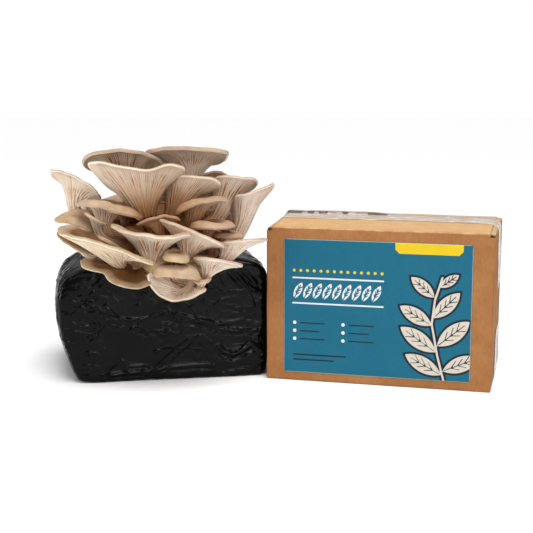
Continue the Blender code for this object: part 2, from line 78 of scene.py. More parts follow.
# Wrapped block
BAG_CORNER = (-180.0, -22.0)
BAG_LENGTH = 183.0
BAG_DEPTH = 126.0
BAG_HEIGHT = 123.5
BAG_TURN = 10.2
BAG_EDGE = 0.76
BAG_FOOT_EDGE = 0.93
BAG_SHOULDER = 11.0
BAG_LEFT_BULGE = 25.0
BAG_RIGHT_BULGE = 5.0
BAG_BACK_BULGE = 4.0
BAG_TOP_WIDER = 0.35

# Fused base of the cluster
MOUND_CENTRE = (-98.0, 24.0, 124.0)
MOUND_RADII = (58.0, 30.0, 24.0)
MOUND_GAP = 0.4
APRON_CENTRE = (-93.0, -13.0, 114.0)
APRON_RADII = (47.0, 12.0, 18.0)
APRON_FOOT = 80.0
LUMP_HEIGHT = 1.8
LUMP_SIZES = (11.0, 5.0)

# The way a cap is drawn over its neck and rim, as in the solids
STEM_FROM_AXIS = 55.0
LONG_STEM = 25.0
FOOT_FLARE = 0.3
FLARE_HEIGHT = 3.0
SHORT_SPAN = 12.0
HOLLOW_EDGE = 0.22
FLESH_OF_REACH = 0.4
FLESH_OF_SPAN = 0.09

# Small waves of the rim up and down, then in and out: size, first and last count of turns
RIM_WAVES = ((0.5, 4, 14), (0.6, 3, 12))
SMALL_RIM = 200.0

# Fine mesh of a mushroom: the finest gills' pitch at the rim and the depth of their valleys,
# then how the relief is shaped, and the rows of points from the foot to the hollow on top
GILL_PITCH = 2.3
GILL_DEPTH = 1.2
GILL_STEEPEST = 4.0
GILL_MEAN = 0.45
GILL_HALF = 0.55
GILL_RISE = 0.12
GILL_FADE = 4.0
GILL_ROWS = 26
GILL_CROWDING = 1.25
SHORT_GILLS = ((8, 0.15), (4, 0.38), (2, 0.62))
RUN_OUT = 1.5
STEM_ROWS = 9
BEAD_ROWS = 4
TOP_ROWS = 11
HOLLOW_ROWS = 3
SINK = 3.0

# Painted shade: the flesh is darkened warmer and browner within these distances of the mound's
# middle, where shade falls deep in the cluster
DEEP_SHADE_RADII = (112.0, 92.0, 108.0)
DEEP_SHADE_TINT = (0.66, 0.43, 0.24)
FLESH_GLOW = (0.004, 0.0022, 0.0012)

# Flesh tones: the gills, the painted shade in the valleys between them, the cap's top, its
# middle and its edge, and where on the way in from the rim the middle's tone starts and is full
FLESH = {
    "grey": ((0.82, 0.70, 0.57), (0.37, 0.175, 0.065), (0.52, 0.395, 0.27), (0.28, 0.16, 0.078),
             (0.96, 0.88, 0.76), 0.93, 0.45),
    # The pale tones are painted light: a lighter copy of the grey ones for caps whose undersides
    # face down or sit under others, standing in for light they don't get
    "pale": ((0.96, 0.85, 0.72), (0.42, 0.21, 0.085), (0.52, 0.39, 0.27), (0.33, 0.185, 0.09),
             (0.97, 0.90, 0.79), 0.93, 0.45),
    "yellow": ((0.88, 0.76, 0.60), (0.41, 0.20, 0.08), (0.52, 0.40, 0.26), (0.29, 0.15, 0.06),
               (0.93, 0.81, 0.62), 0.93, 0.45),
    # The shaded tones paint the shade in the middles of the two caps that hang under others: their
    # middles turn very dark brown
    "shaded": ((0.84, 0.71, 0.53), (0.34, 0.16, 0.06), (0.56, 0.43, 0.28), (0.13, 0.052, 0.014),
               (0.93, 0.81, 0.62), 0.96, 0.80),
    "pink": ((0.94, 0.83, 0.72), (0.40, 0.20, 0.09), (0.54, 0.40, 0.29), (0.35, 0.20, 0.115),
             (0.95, 0.84, 0.71), 0.93, 0.45),
}

# Fine mesh and relief of the film: creases as drawn, a broad swell, pleats down the left end
# and small crumples near the ends and the foot
FILM_CELL = 1.33
CREASE_WIDER = 1.6
CREASE_TALLER = 2.2
SWELL_HEIGHT = 0.6
SWELL_SIZE = 40.0
PLEAT_HEIGHT = 1.1
PLEAT_SIZE = (60.0, 7.0, 42.0)
CRUMPLE_HEIGHT = 0.3
CRUMPLE_SIZE = (15.0, 15.0, 8.0)

# Creases scattered over the sides that don't show in front: how many on the back, the left
# end, the right end and the top, and how much they turn, then the range of their sizes
STRAY_CREASES = ((60, 0.5), (20, 1.3), (30, 1.3), (50, 0.8))
STRAY_LENGTH = (5, 26)
STRAY_WIDTH = (0.45, 0.9)
STRAY_HEIGHT = (0.15, 0.5)
SIDE_SIZES = ((185, 120), (126, 120), (126, 120), (185, 126))

# Creases too fine for the mesh, in three directions: how far they are stretched, their turn
# and size, then the size, wobble and limits of the patches that have them, and their height
FACET_SIZE = 30.0
FACET_HEIGHT = 2.4
FINE_CREASE_WIDTH = 0.06
FINE_CREASES = (
    (3.6, 0.06, 17.0, 24.0, 0.4, 0.50, 0.60, 0.7),
    (2.8, 0.95, 16.0, 26.0, 0.0, 0.50, 0.62, 0.6),
    (3.0, -0.6, 16.0, 21.0, 0.8, 0.54, 0.64, 0.6),
)

# Fine meshes and relief of the carton, the label and the tape. The flaps rise to the seam,
# and the notches are cut into the four top corners
CARTON_CELL = 4.0
CARTON_CROWD = (0.0, 0.4, 0.8, 1.3, 1.9, 2.6, 3.5, 4.6, 6.0)
CARTON_ROUND = 1.9
FLUTE_PITCH = 7.0
PANEL_BOW = (0.9, 0.7, 0.5)
PANEL_DENT = 0.35
PANEL_DENT_SIZE = 48.0
FLAP_RISE = 5.6
BACK_FLAP_STEP = 2.8
NOTCH = (2.6, 2.4, 1.7)
NOTCH_IN = 1.6
LABEL_CELL = 0.8
TAPE_CELL = 1.4
TAPE_BEND = 2.2
TAPE_WRINKLE = 0.45
TAPE_WRINKLE_SIZE = (26.0, 4.5, 9.0)

# The print in mm from the label's corner: a sprig's stem, and its leaves as foot, turn,
# length and width, then rows of small leaves, spots and rules
SPRIG_STEM = ((158.0, -6.0), (150.0, 24.0), (144.0, 55.0), (146.5, 78.0), (153.0, 100.0))
SPRIG_LEAVES = (
    ((155.0, 5.0), 152, 42, 17), ((154.0, 9.0), 24, 40, 17), ((149.5, 27.0), 146, 44, 18),
    ((148.5, 33.0), 40, 42, 18), ((145.0, 53.0), 150, 38, 16), ((144.5, 60.0), 46, 38, 16),
    ((147.0, 80.0), 140, 32, 14), ((150.0, 90.0), 36, 24, 11),
)
LEAF_RIBS = (0.25, 0.42, 0.59)
ROW_LEAVES = 9
ROW_SPOTS = 14
PRINT_FAR = 50.0

# Camera, and light from the pale surroundings, the sun and the area lights, each of them by
# its place, aim, width, height and power
CAMERA_PLACE = (-0.011, -1.1407, 0.3045)
CAMERA_TILT = 80.17
CAMERA_LENS = 77.67
WHITE = (1.0, 1.0, 1.0)
FLOOR_REACH = 6.0
SKY_LIGHT = 0.3
SUN_POWER = 2.4
SUN_WIDTH = 35.0
SUN_TILT = (16.0, 8.0)
AREA_LIGHTS = {
    "soft_box": ((0.22, -1.25, 0.72), (-0.05, 0.0, 0.1), 0.5, 0.4, 5.2),
    "low_fill": ((0.4, -1.15, 0.14), (-0.05, 0.0, 0.15), 0.7, 0.12, 1.5),
    "right": ((1.0, -0.6, 0.7), (0.0, 0.0, 0.1), 0.3, 0.3, 1.2),
    "left": ((-0.9, -0.42, 0.22), (-0.1, 0.0, 0.08), 0.25, 0.34, 3.0),
}


@dataclass
class Mushroom:
    """One mushroom by its foot on the mound, its neck and four points on its rim, in mm.

    foot is the distance along the mound and the angle up from its front. lip is one length,
    or one each for the front, right, back and left. A ripple is (angle round the rim, width
    in degrees, lift, push outwards).
    """
    name: str
    foot: tuple
    neck: tuple
    front: tuple
    right: tuple
    back: tuple
    left: tuple
    neck_radius: float = 5.0
    foot_radius: float = 5.0
    lip: object = 7
    droop: float = 22.0
    fullness: float = 0.0
    throat: float = 0.35
    flesh: float = 4.0
    rim: float = 2.0
    roll: float = 5.0
    spring: float = 0.4
    lean: tuple = ()
    ripples: tuple = ()
    tone: str = "grey"

    def __post_init__(self):
        """Make the neck a point to reckon with."""
        self.neck = np.array(self.neck, float)


@dataclass
class Crease:
    """A fold in the film, by its points across and up the side in mm."""
    points: tuple
    width: float = 0.8
    height: float = 0.5


FRONT_CREASES = [
    Crease(((-7, 56), (7, 57), (22, 60)), 0.7, 0.5),
    Crease(((22, 62), (40, 62), (58, 63)), 0.8, 0.5),
    Crease(((29, 61), (43, 59)), 0.6, 0.5),
    Crease(((47, 51), (51, 54), (58, 49)), 0.6, 0.7),
    Crease(((55, 55), (59, 51), (66, 48)), 0.7, 0.9),
    Crease(((66, 50), (85, 50)), 0.6, 0.5),
    Crease(((78, 57), (89, 55), (93, 51)), 0.8, 0.5),
    Crease(((80, 78), (90, 65), (94, 61)), 0.6, 0.4),
    Crease(((87, 61), (109, 58), (120, 56), (130, 52), (140, 49), (151, 47), (178, 47)), 1.0, 0.9),
    Crease(((94, 66), (103, 63), (112, 60), (124, 58), (131, 55), (143, 56), (161, 58)), 1.1, 0.9),
    Crease(((132, 54), (140, 53), (150, 54), (160, 54)), 0.7, 0.6),
    Crease(((167, 51), (175, 52)), 0.6, 0.5),
    Crease(((159, 108), (173, 93)), 1.2, 1.5),
    Crease(((150, 107), (162, 93), (173, 85)), 1.2, 1.2),
    Crease(((137, 64), (144, 67)), 0.6, 0.5),
    Crease(((145, 73), (149, 72), (152, 69), (158, 70)), 0.6, 0.4),
    Crease(((131, 31), (135, 32), (139, 27), (149, 23), (158, 27), (168, 33), (179, 28)), 1.5, 1.3),
    Crease(((70, 11), (85, 13), (112, 14), (132, 13)), 1.1, 0.8),
    Crease(((138, 4), (155, 7), (166, 8)), 0.9, 0.7),
    Crease(((13, 6), (40, 9), (81, 10)), 1.1, 0.9),
    Crease(((45, 15), (61, 16), (66, 14)), 0.7, 0.6),
    Crease(((12, 95), (22, 103)), 0.8, 0.7),
    Crease(((8, 86), (10, 87), (16, 92)), 0.9, 0.7),
    Crease(((-2, 79), (5, 82)), 0.7, 0.7),
    Crease(((-1, 76), (6, 76), (13, 83)), 0.8, 0.7),
    Crease(((7, 75), (14, 77)), 0.7, 0.6),
    Crease(((23, 76), (28, 79)), 0.6, 0.5),
    Crease(((20, 72), (22, 69)), 0.5, 0.7),
    Crease(((-5, 91), (2, 94)), 1.2, 0.8),
    Crease(((-8, 104), (-3, 108), (9, 109)), 1.0, 0.7),
]

CLUSTER = [
    Mushroom("mushroom_top_left", (-26, 114), (-140, 68, 169), (-147, 26, 222), (-106, 50, 208),
             (-141, 94, 190), (-183, 42, 208), neck_radius=7, lip=8, droop=25, flesh=4.5, rim=3.4,
             roll=4, ripples=((-60, 25, 0, -2),)),
    Mushroom("mushroom_top_front", (-14, 72), (-119, 20, 158), (-125, -18, 209), (-76, 0, 205),
             (-123, 42, 172), (-171, 3, 209), neck_radius=8, lip=(5, 22, 5, 4), droop=8,
             fullness=0.45, rim=2.4, roll=7, ripples=((-35, 22, 1.8, 0), (15, 14, -1.5, 0),
             (40, 15, 2.2, 0), (128, 34, 0, -13))),
    Mushroom("mushroom_top_right", (12, 124), (-78, 78, 184), (-73, 36, 223), (-41, 58, 214),
             (-77, 100, 201), (-120, 50, 217), neck_radius=7, lip=9, droop=18, flesh=5, rim=3.8,
             roll=4, ripples=((60, 25, 0, 2),), tone="pale"),
    Mushroom("mushroom_centre_fan", (0, 117), (-95, 36, 157), (-82, 8, 199), (-46, 10, 191),
             (-87, 52, 171), (-105, 38, 186), neck_radius=7, lip=(7, 14, 5, 5), droop=15,
             fullness=0.35, flesh=4.5, rim=2.6, tone="pale"),
    Mushroom("mushroom_centre_cap", (19, 90), (-74, 19, 154), (-61, -14, 176), (-38, 2, 176),
             (-67, 28, 171), (-87, 4, 163), neck_radius=6.5, lip=14, droop=30, fullness=0.1,
             flesh=6.5, rim=3.2, roll=6),
    Mushroom("mushroom_right_high", (34, 104), (-52, 42, 153), (-30, 22, 197), (-9, 38, 189),
             (-38, 74, 173), (-53, 36, 193), neck_radius=7, lip=8, droop=20, fullness=0.45,
             flesh=4.5, rim=2.4, roll=4, tone="pale"),
    Mushroom("mushroom_right_fan", (53, 84), (-29, 30, 139), (-13, 6, 184), (7, 26, 187),
             (-25, 56, 155), (-33, 24, 175), neck_radius=6, lip=(5, 14, 5, 5), droop=10,
             fullness=0.25, flesh=3.5, roll=7, tone="pink"),
    Mushroom("mushroom_left_fan", (-46, 100), (-192, 48, 157), (-186, 16, 197), (-166, 28, 177),
             (-187, 66, 172), (-215, 34, 200), neck_radius=6, lip=(5, 4, 5, 20), droop=10,
             flesh=3.5),
    Mushroom("mushroom_left_cap", (-26, 56), (-154, 8, 146), (-153, -22, 171), (-123, -8, 160),
             (-150, 28, 167), (-180, -6, 173), neck_radius=6.5, lip=14, droop=32, flesh=6.5,
             rim=4.0, roll=6),
    Mushroom("mushroom_left_small", (-42, 32), (-162, -8, 149), (-163, -32, 163),
             (-154, -22, 156), (-161, -14, 161), (-172, -23, 167), neck_radius=4, foot_radius=4,
             lip=6, droop=20, fullness=0.2, flesh=2.5),
    Mushroom("mushroom_left_long", (-50, 68), (-174, 18, 144), (-187, -8, 155), (-168, 0, 149),
             (-182, 32, 161), (-205, 8, 157), foot_radius=4.5, lip=10, droop=30, flesh=5, rim=3.0,
             tone="yellow"),
    Mushroom("mushroom_low_left", (-36, 14), (-140, -34, 123), (-147, -66, 142), (-106, -56, 124),
             (-168, -20, 150), (-195, -36, 150), neck_radius=6.5, lip=(7, 10, 7, 12),
             fullness=0.7, flesh=4.8, rim=3.4, ripples=((130, 30, 0, -6),), tone="shaded"),
    Mushroom("mushroom_low_front", (-12, 9), (-110, -21, 124), (-110, -60, 151), (-71, -52, 150),
             (-112, -8, 141), (-146, -36, 156), neck_radius=7, lip=(7, 12, 7, 12), fullness=0.5,
             flesh=4.8, rim=3.4, ripples=((-30, 18, -1.5, 0), (25, 20, -1.5, 0),
             (135, 25, 0, -4)), tone="pale"),
    Mushroom("mushroom_centre_small", (3, 45), (-102, -4, 147), (-99, -20, 163), (-84, -8, 158),
             (-102, 14, 157), (-124, -10, 154), foot_radius=4.5, lip=8, droop=25, fullness=0.3,
             rim=2.6, tone="pink"),
    Mushroom("mushroom_centre_low", (26, 28), (-75, -20, 129), (-67, -44, 151), (-41, -38, 137),
             (-74, -4, 144), (-101, -24, 160), neck_radius=6.5, lip=(8, 12, 7, 10), droop=25,
             fullness=0.6, flesh=4.5, rim=3.2, tone="pale"),
    Mushroom("mushroom_right_cap", (35, 50), (-60, 1, 142), (-51, -28, 153), (-32, -8, 152),
             (-53, 18, 150), (-72, -8, 151), neck_radius=4.5, foot_radius=4.5, lip=12, droop=34,
             flesh=6, rim=3.2, tone="pink"),
    Mushroom("mushroom_right_small", (47, 64), (-45, 10, 137), (-37, -18, 143), (-23, 0, 141),
             (-39, 14, 143), (-51, -4, 142), neck_radius=4, foot_radius=4, lip=9, droop=28,
             tone="pink"),
    Mushroom("mushroom_right_low", (51, 26), (-39, -20, 124), (-24, -40, 143), (0, -22, 141),
             (-28, -10, 138), (-45, -26, 138), neck_radius=6, foot_radius=4.5, lip=(7, 14, 7, 6),
             droop=20, fullness=0.5, rim=2.4, tone="pink"),
    Mushroom("mushroom_front_small", (8, 24), (-86, -36, 125), (-84, -65, 128), (-73, -52, 127),
             (-86, -31, 134), (-96, -52, 130), neck_radius=3.2, foot_radius=3.2, lip=9, droop=38,
             throat=0.2, flesh=3.0, rim=1.6, spring=0.1, lean=(0, -0.6, 0.8), tone="yellow"),
    Mushroom("mushroom_low_right", (43, 12), (-57, -26, 110), (-47, -50, 126), (-24, -30, 117),
             (-56, -19, 118), (-69, -36, 125), neck_radius=5, foot_radius=4.5, lip=(8, 10, 6, 6),
             droop=24, fullness=0.6, flesh=4.5, rim=3.0, spring=0.1, tone="pink"),
    Mushroom("mushroom_front_cap", (0, 10), (-87, -31, 109), (-82, -68, 114), (-63, -50, 110),
             (-86, -24, 118), (-105, -52, 114), neck_radius=4.5, foot_radius=4.5, lip=16,
             droop=36, throat=0.2, flesh=4.5, spring=0.1, lean=(0, -0.6, 0.8)),
    Mushroom("mushroom_lowest", (13, 4), (-73, -24, 99), (-93, -50, 91), (-58, -38, 97),
             (-84, -26, 99), (-110, -46, 115), neck_radius=4, foot_radius=4.5, lip=6, droop=5,
             flesh=3, spring=0.2, lean=(-0.3, -0.6, -0.9), ripples=((-122, 28, 0, -5),),
             tone="pale"),
    Mushroom("mushroom_low_droop", (-24, 15), (-126, -24, 113), (-130, -60, 103),
             (-109, -40, 110), (-142, -24, 118), (-174, -44, 123), neck_radius=4, foot_radius=4,
             lip=(12, 12, 6, 12), droop=-12, throat=0.1, flesh=3, spring=0.25,
             lean=(0, -0.8, 0.6), ripples=((-45, 13, 2, -6), (45, 14, 1, 2)), tone="shaded"),
    Mushroom("mushroom_left_under", (-49, 22), (-175, -14, 131), (-186, -36, 138),
             (-169, -26, 130), (-182, 2, 144), (-199, -20, 149), neck_radius=4.5, foot_radius=4,
             lip=5, droop=0, flesh=3.5, tone="yellow"),
    Mushroom("mushroom_front_tip", (27, 6), (-61, -36, 103.5), (-60, -52, 105), (-53, -39, 107),
             (-65, -28, 107), (-69, -41, 106), neck_radius=3.2, foot_radius=3.2, lip=5, droop=15,
             fullness=0.2, flesh=3, spring=0.1, lean=(0.2, -0.6, 0.8), tone="pink"),
    Mushroom("mushroom_right_behind", (50, 118), (-48, 78, 165), (-54, 54, 199), (-41, 62, 195),
             (-53, 92, 189), (-67, 62, 193), neck_radius=4.5, foot_radius=4.5, flesh=3, roll=4,
             tone="pink"),
    Mushroom("mushroom_back_left", (-40, 140), (-150, 84, 148), (-156, 126, 168), (-184, 92, 160),
             (-156, 70, 163), (-126, 110, 166), neck_radius=6, lip=8, droop=20, fullness=0.3,
             flesh=4.5),
    Mushroom("mushroom_back_middle", (-8, 150), (-100, 80, 152), (-100, 128, 178),
             (-124, 112, 176), (-102, 70, 184), (-70, 112, 178), neck_radius=6, lip=8, droop=20,
             fullness=0.7, flesh=4.5),
    Mushroom("mushroom_back_right", (26, 160), (-58, 96, 144), (-50, 128, 160), (-76, 112, 158),
             (-56, 86, 160), (-28, 106, 160), neck_radius=6, lip=10, droop=25, fullness=0.2,
             flesh=5),
    Mushroom("mushroom_back_low", (-24, 168), (-122, 72, 134), (-126, 102, 141), (-146, 86, 140),
             (-126, 64, 145), (-112, 90, 140), neck_radius=4.5, foot_radius=4.5, lip=9, droop=30),
    Mushroom("mushroom_inner", (-26, 76), (-140, 26, 149), (-138, 14, 161), (-131, 32, 156),
             (-140, 42, 161), (-149, 26, 160), neck_radius=4, foot_radius=4, lip=6, droop=20,
             fullness=0.3),
]

# Small ones deep inside, which close the gaps between the stems
INNER = [
    Mushroom("inner_middle", (-4, 108), (-109, 42, 156), (-106, 34, 171), (-92, 46, 170),
             (-106, 58, 172), (-121, 46, 171), neck_radius=8, foot_radius=7, fullness=0.4),
    Mushroom("inner_left", (-38, 96), (-144, 44, 138), (-143, 32, 154), (-120, 46, 153),
             (-142, 60, 155), (-167, 46, 154), foot_radius=6, fullness=0.4),
    Mushroom("inner_far_left", (-46, 76), (-174, 44, 152), (-175, 34, 168), (-160, 46, 166),
             (-175, 58, 169), (-190, 46, 167), neck_radius=7, fullness=0.4),
    Mushroom("inner_right", (32, 100), (-64, 44, 146), (-62, 36, 163), (-47, 48, 161),
             (-62, 60, 163), (-79, 48, 161), foot_radius=6, fullness=0.4),
    Mushroom("inner_far_right", (46, 92), (-42, 34, 133), (-42, 24, 148), (-23, 36, 147),
             (-42, 48, 148), (-61, 36, 147), foot_radius=6, fullness=0.4),
    Mushroom("inner_high_right", (24, 120), (-60, 66, 162), (-58, 56, 180), (-46, 66, 178),
             (-58, 78, 180), (-70, 66, 179), fullness=0.5),
]

KIT_PLACE = Matrix.Translation((LAYOUT_X, LAYOUT_Y, 0.0))
BLOCK_PLACE = (KIT_PLACE @ Matrix.Translation((*BAG_CORNER, 0.0))
               @ Matrix.Rotation(math.radians(BAG_TURN), 4, "Z"))
CARTON_PLACE = KIT_PLACE @ Matrix.Rotation(math.radians(CARTON_TURN), 4, "Z")
CARTON_SIZE = np.array([CARTON_LENGTH, CARTON_DEPTH, CARTON_HEIGHT])


def unit(vector):
    """The vector at length one."""
    return vector / np.linalg.norm(vector)


def units(vectors):
    """Each vector at length one."""
    return vectors / np.maximum(np.linalg.norm(vectors, axis=-1, keepdims=True), 1e-9)


def smooth(x):
    """A smooth step from 0 to 1."""
    x = np.clip(x, 0.0, 1.0)
    return x * x * (3.0 - 2.0 * x)


def off_axis(vector, axis):
    """The part of a vector that is square to an axis."""
    return vector - np.dot(vector, axis) * axis


def off_line(points, line):
    """The part of each point that is square to a line."""
    return points - (points @ line)[..., None] * line


def new_object(name, data):
    """An object in the scene."""
    made = bpy.data.objects.new(name, data)
    bpy.context.scene.collection.objects.link(made)
    return made


def add_piece(name, verts, faces, place, mat, node=None, fields=None):
    """A smooth mesh from points in mm in the frame of place, riding on the one body."""
    matrix = np.array(place)
    world = (verts @ matrix[:3, :3].T + matrix[:3, 3]) * MM
    mesh = bpy.data.meshes.new(name)
    mesh.from_pydata(world.astype(np.float32), [], faces)
    local = mesh.attributes.new("local", "FLOAT_VECTOR", "POINT")
    local.data.foreach_set("vector", verts.astype(np.float32).ravel())
    for field, values in (fields or {}).items():
        layer = mesh.attributes.new(field, "FLOAT", "POINT")
        layer.data.foreach_set("value", values.astype(np.float32).ravel())
    mesh.materials.append(mat)
    mesh.shade_smooth()
    obj = new_object(name, mesh)
    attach(obj, "root")
    if node:
        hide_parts(node)


def facing_out(verts, faces):
    """The faces, turned over if they enclose a negative volume."""
    a, b, c = (verts[faces[:, k]] for k in (0, 1, 2))
    volume = np.einsum("ij,ij->i", a, np.cross(b, c)).sum()
    if faces.shape[1] == 4:
        d = verts[faces[:, 3]]
        volume += np.einsum("ij,ij->i", a, np.cross(c, d)).sum()
    return faces if volume > 0 else faces[:, ::-1]


def ring_quads(rows, columns):
    """The numbers of the points in closed rings, and the quads between the rings."""
    index = np.arange(rows * columns).reshape(rows, columns)
    after = np.roll(index, -1, 1)
    quads = np.stack([index[:-1], after[:-1], after[1:], index[1:]], -1).reshape(-1, 4)
    return index, quads


def closing_fan(point, ring, flip):
    """Triangles from a point to each side of a ring."""
    return [[point, b, a] if flip else [point, a, b] for a, b in zip(ring, np.roll(ring, -1))]


class Shading:
    """A material, and short calls for the nodes of its colour, roughness and bump."""

    def __init__(self, name):
        self.material = bpy.data.materials.new(name)
        self.material.use_nodes = True
        self.tree = self.material.node_tree
        self.shader = self.tree.nodes["Principled BSDF"]

    def node(self, kind, inputs=None, **settings):
        """A new node with its settings, and with its inputs set or linked."""
        made = self.tree.nodes.new(kind)
        for key, value in settings.items():
            setattr(made, key, value)
        for key, value in (inputs or {}).items():
            self.put(made.inputs[key], value)
        return made

    def put(self, socket, value):
        """Link a socket to another's output, or set its value."""
        if isinstance(value, bpy.types.NodeSocket):
            self.tree.links.new(value, socket)
        elif isinstance(value, tuple) and len(value) == 3 and len(socket.default_value) == 4:
            socket.default_value = (*value, 1.0)
        else:
            socket.default_value = value

    def field(self, name):
        """A number stored on the mesh."""
        return self.node("ShaderNodeAttribute", attribute_name=name).outputs["Fac"]

    def local(self, scale=(1.0, 1.0, 1.0), turn=(0.0, 0.0, 0.0), **settings):
        """The place on the piece in mm, scaled and turned."""
        place = self.node("ShaderNodeAttribute", attribute_name="local").outputs["Vector"]
        return self.node("ShaderNodeMapping", {"Vector": place, "Scale": scale,
                                               "Rotation": turn}, **settings).outputs[0]

    def noise(self, vector, size, detail=4.0, roughness=0.5, distortion=0.0):
        """Noise with features of about that size in mm."""
        return self.node("ShaderNodeTexNoise", {
            "Vector": vector, "Scale": 1.0 / size, "Detail": detail, "Roughness": roughness,
            "Distortion": distortion}).outputs["Fac"]

    def cells(self, vector, size):
        """How far inside a crumpled facet each place is, with facets of about that size in mm."""
        return self.node("ShaderNodeTexVoronoi", {"Vector": vector, "Scale": 1.0 / size},
                         feature="DISTANCE_TO_EDGE").outputs["Distance"]

    def fold_lines(self, scale, turn, size, width):
        """Thin winding ridges, stretched and turned about the depth."""
        turned = self.local(scale, (0.0, turn, 0.0), vector_type="TEXTURE")
        level = self.sum("SUBTRACT", self.noise(turned, size, 0.0, 0.4, 0.3), 0.5)
        return self.spread(self.sum("ABSOLUTE", level, 0.0), width, 0.0,
                           interpolation_type="SMOOTHSTEP")

    def spread(self, value, low, high, to_low=0.0, to_high=1.0, **settings):
        """Map a value from one range to another, held at its ends."""
        return self.node("ShaderNodeMapRange", {
            "Value": value, "From Min": low, "From Max": high, "To Min": to_low,
            "To Max": to_high}, **settings).outputs["Result"]

    def sum(self, operation, first, second):
        """One step of arithmetic."""
        return self.node("ShaderNodeMath", {0: first, 1: second},
                         operation=operation).outputs[0]

    def mix(self, share, first, second, blend="MIX"):
        """A blend of two colours, or the first multiplied by the second."""
        made = self.node("ShaderNodeMix", data_type="RGBA", blend_type=blend)
        self.put(made.inputs["Factor"], share)
        self.put(made.inputs[6], first)
        self.put(made.inputs[7], second)
        return made.outputs[2]

    def lay(self, colour, tone, value, low, high, most=1.0):
        """A colour with a tone laid over it, the more so the nearer a value is to high."""
        return self.mix(self.spread(value, low, high, 0.0, most), colour, tone)

    def bump(self, height, distance, strength=1.0, under=None):
        """A bump of that height in mm."""
        inputs = {"Height": height, "Distance": distance * MM, "Strength": strength}
        if under is not None:
            inputs["Normal"] = under
        return self.node("ShaderNodeBump", inputs).outputs["Normal"]

    def finish(self, **sockets):
        """Set or link the shader's own sockets."""
        for key, value in sockets.items():
            self.put(self.shader.inputs[key.replace("_", " ")], value)
        return self.material


def film_material():
    """Thin black film: glossy, with flat facets and thin sharp folds in patches."""
    s = Shading("black_film")
    place = s.local()
    broad = s.noise(place, 30.0, 3.0)
    drift = s.node("ShaderNodeTexNoise", {"Vector": place, "Scale": 1.0 / 18.0}).outputs["Color"]
    bent = s.node("ShaderNodeVectorMath", {0: drift, 1: (14.0, 14.0, 14.0), 2: place},
                  operation="MULTIPLY_ADD").outputs[0]
    normal = s.bump(s.cells(bent, FACET_SIZE), FACET_HEIGHT)
    for stretch, turn, size, patch, wobble, low, high, height in FINE_CREASES:
        lines = s.fold_lines((stretch, stretch, 1.0), turn, size, FINE_CREASE_WIDTH)
        patches = s.spread(s.noise(place, patch, 1.0, 0.5, wobble), low, high)
        normal = s.bump(s.sum("MULTIPLY", lines, patches), height, under=normal)
    rough = s.spread(broad, 0.35, 0.65, 0.12, 0.22)
    colour = s.mix(s.spread(broad, 0.35, 0.65), (0.0005, 0.0005, 0.0006), (0.002, 0.002, 0.0022))
    return s.finish(Base_Color=colour, Roughness=rough, Normal=normal, Specular_IOR_Level=0.11)


def kraft_material():
    """Brown corrugated board: fibres, flecks, faint flutes, worn edges, painted light on the top
    and painted shade in the gaps.
    """
    s = Shading("kraft_board")
    place = s.local()
    cloud = s.noise(place, 60.0, 3.0)
    patch = s.noise(place, 14.0, 4.0, 0.6)
    fibre = s.noise(s.local((1.0, 1.0, 0.16)), 0.9, 3.0, 0.6)
    fleck = s.noise(place, 0.8, 2.0, 0.6)
    wave = s.sum("SINE", s.sum("MULTIPLY", s.field("flute"), 2.0 * math.pi / FLUTE_PITCH), 0.0)
    flute = s.sum("MULTIPLY", s.spread(wave, -1.0, 1.0), s.spread(patch, 0.4, 0.65))
    board = s.mix(s.spread(cloud, 0.35, 0.65), (0.25, 0.098, 0.027), (0.33, 0.143, 0.046))
    board = s.lay(board, (0.20, 0.074, 0.020), patch, 0.35, 0.7, 0.28)
    board = s.lay(board, (0.44, 0.225, 0.085), fibre, 0.45, 0.75, 0.35)
    # Painted light: the top faces are painted much lighter than the sides
    painted_light_top = s.mix(s.spread(patch, 0.35, 0.7), (0.67, 0.42, 0.20), (0.60, 0.36, 0.165))
    board = s.mix(s.field("upward"), board, painted_light_top)
    board = s.lay(board, (0.15, 0.056, 0.016), fleck, 0.64, 0.74, 0.55)
    across = s.spread(s.field("upward"), 0.0, 1.0, 0.10, 0.0)
    board = s.mix(s.sum("MULTIPLY", flute, across), board, (0.18, 0.066, 0.019))
    board = s.mix(s.sum("MULTIPLY", s.field("edge"), s.spread(patch, 0.4, 0.6, 0.2, 0.7)), board,
                  (0.27, 0.085, 0.022))
    # Painted shade: near black in the seam, the slit at the flaps' ends, the back flap's cut edge
    # and the corner notches
    board = s.mix(s.field("gap"), board, (0.035, 0.018, 0.01))
    normal = s.bump(wave, 0.05, 0.25)
    normal = s.bump(patch, 0.5, 0.3, under=normal)
    normal = s.bump(fibre, 0.08, 0.5, under=normal)
    return s.finish(Base_Color=board, Roughness=s.spread(patch, 0.3, 0.7, 0.72, 0.9),
                    Normal=normal, Specular_IOR_Level=0.3)


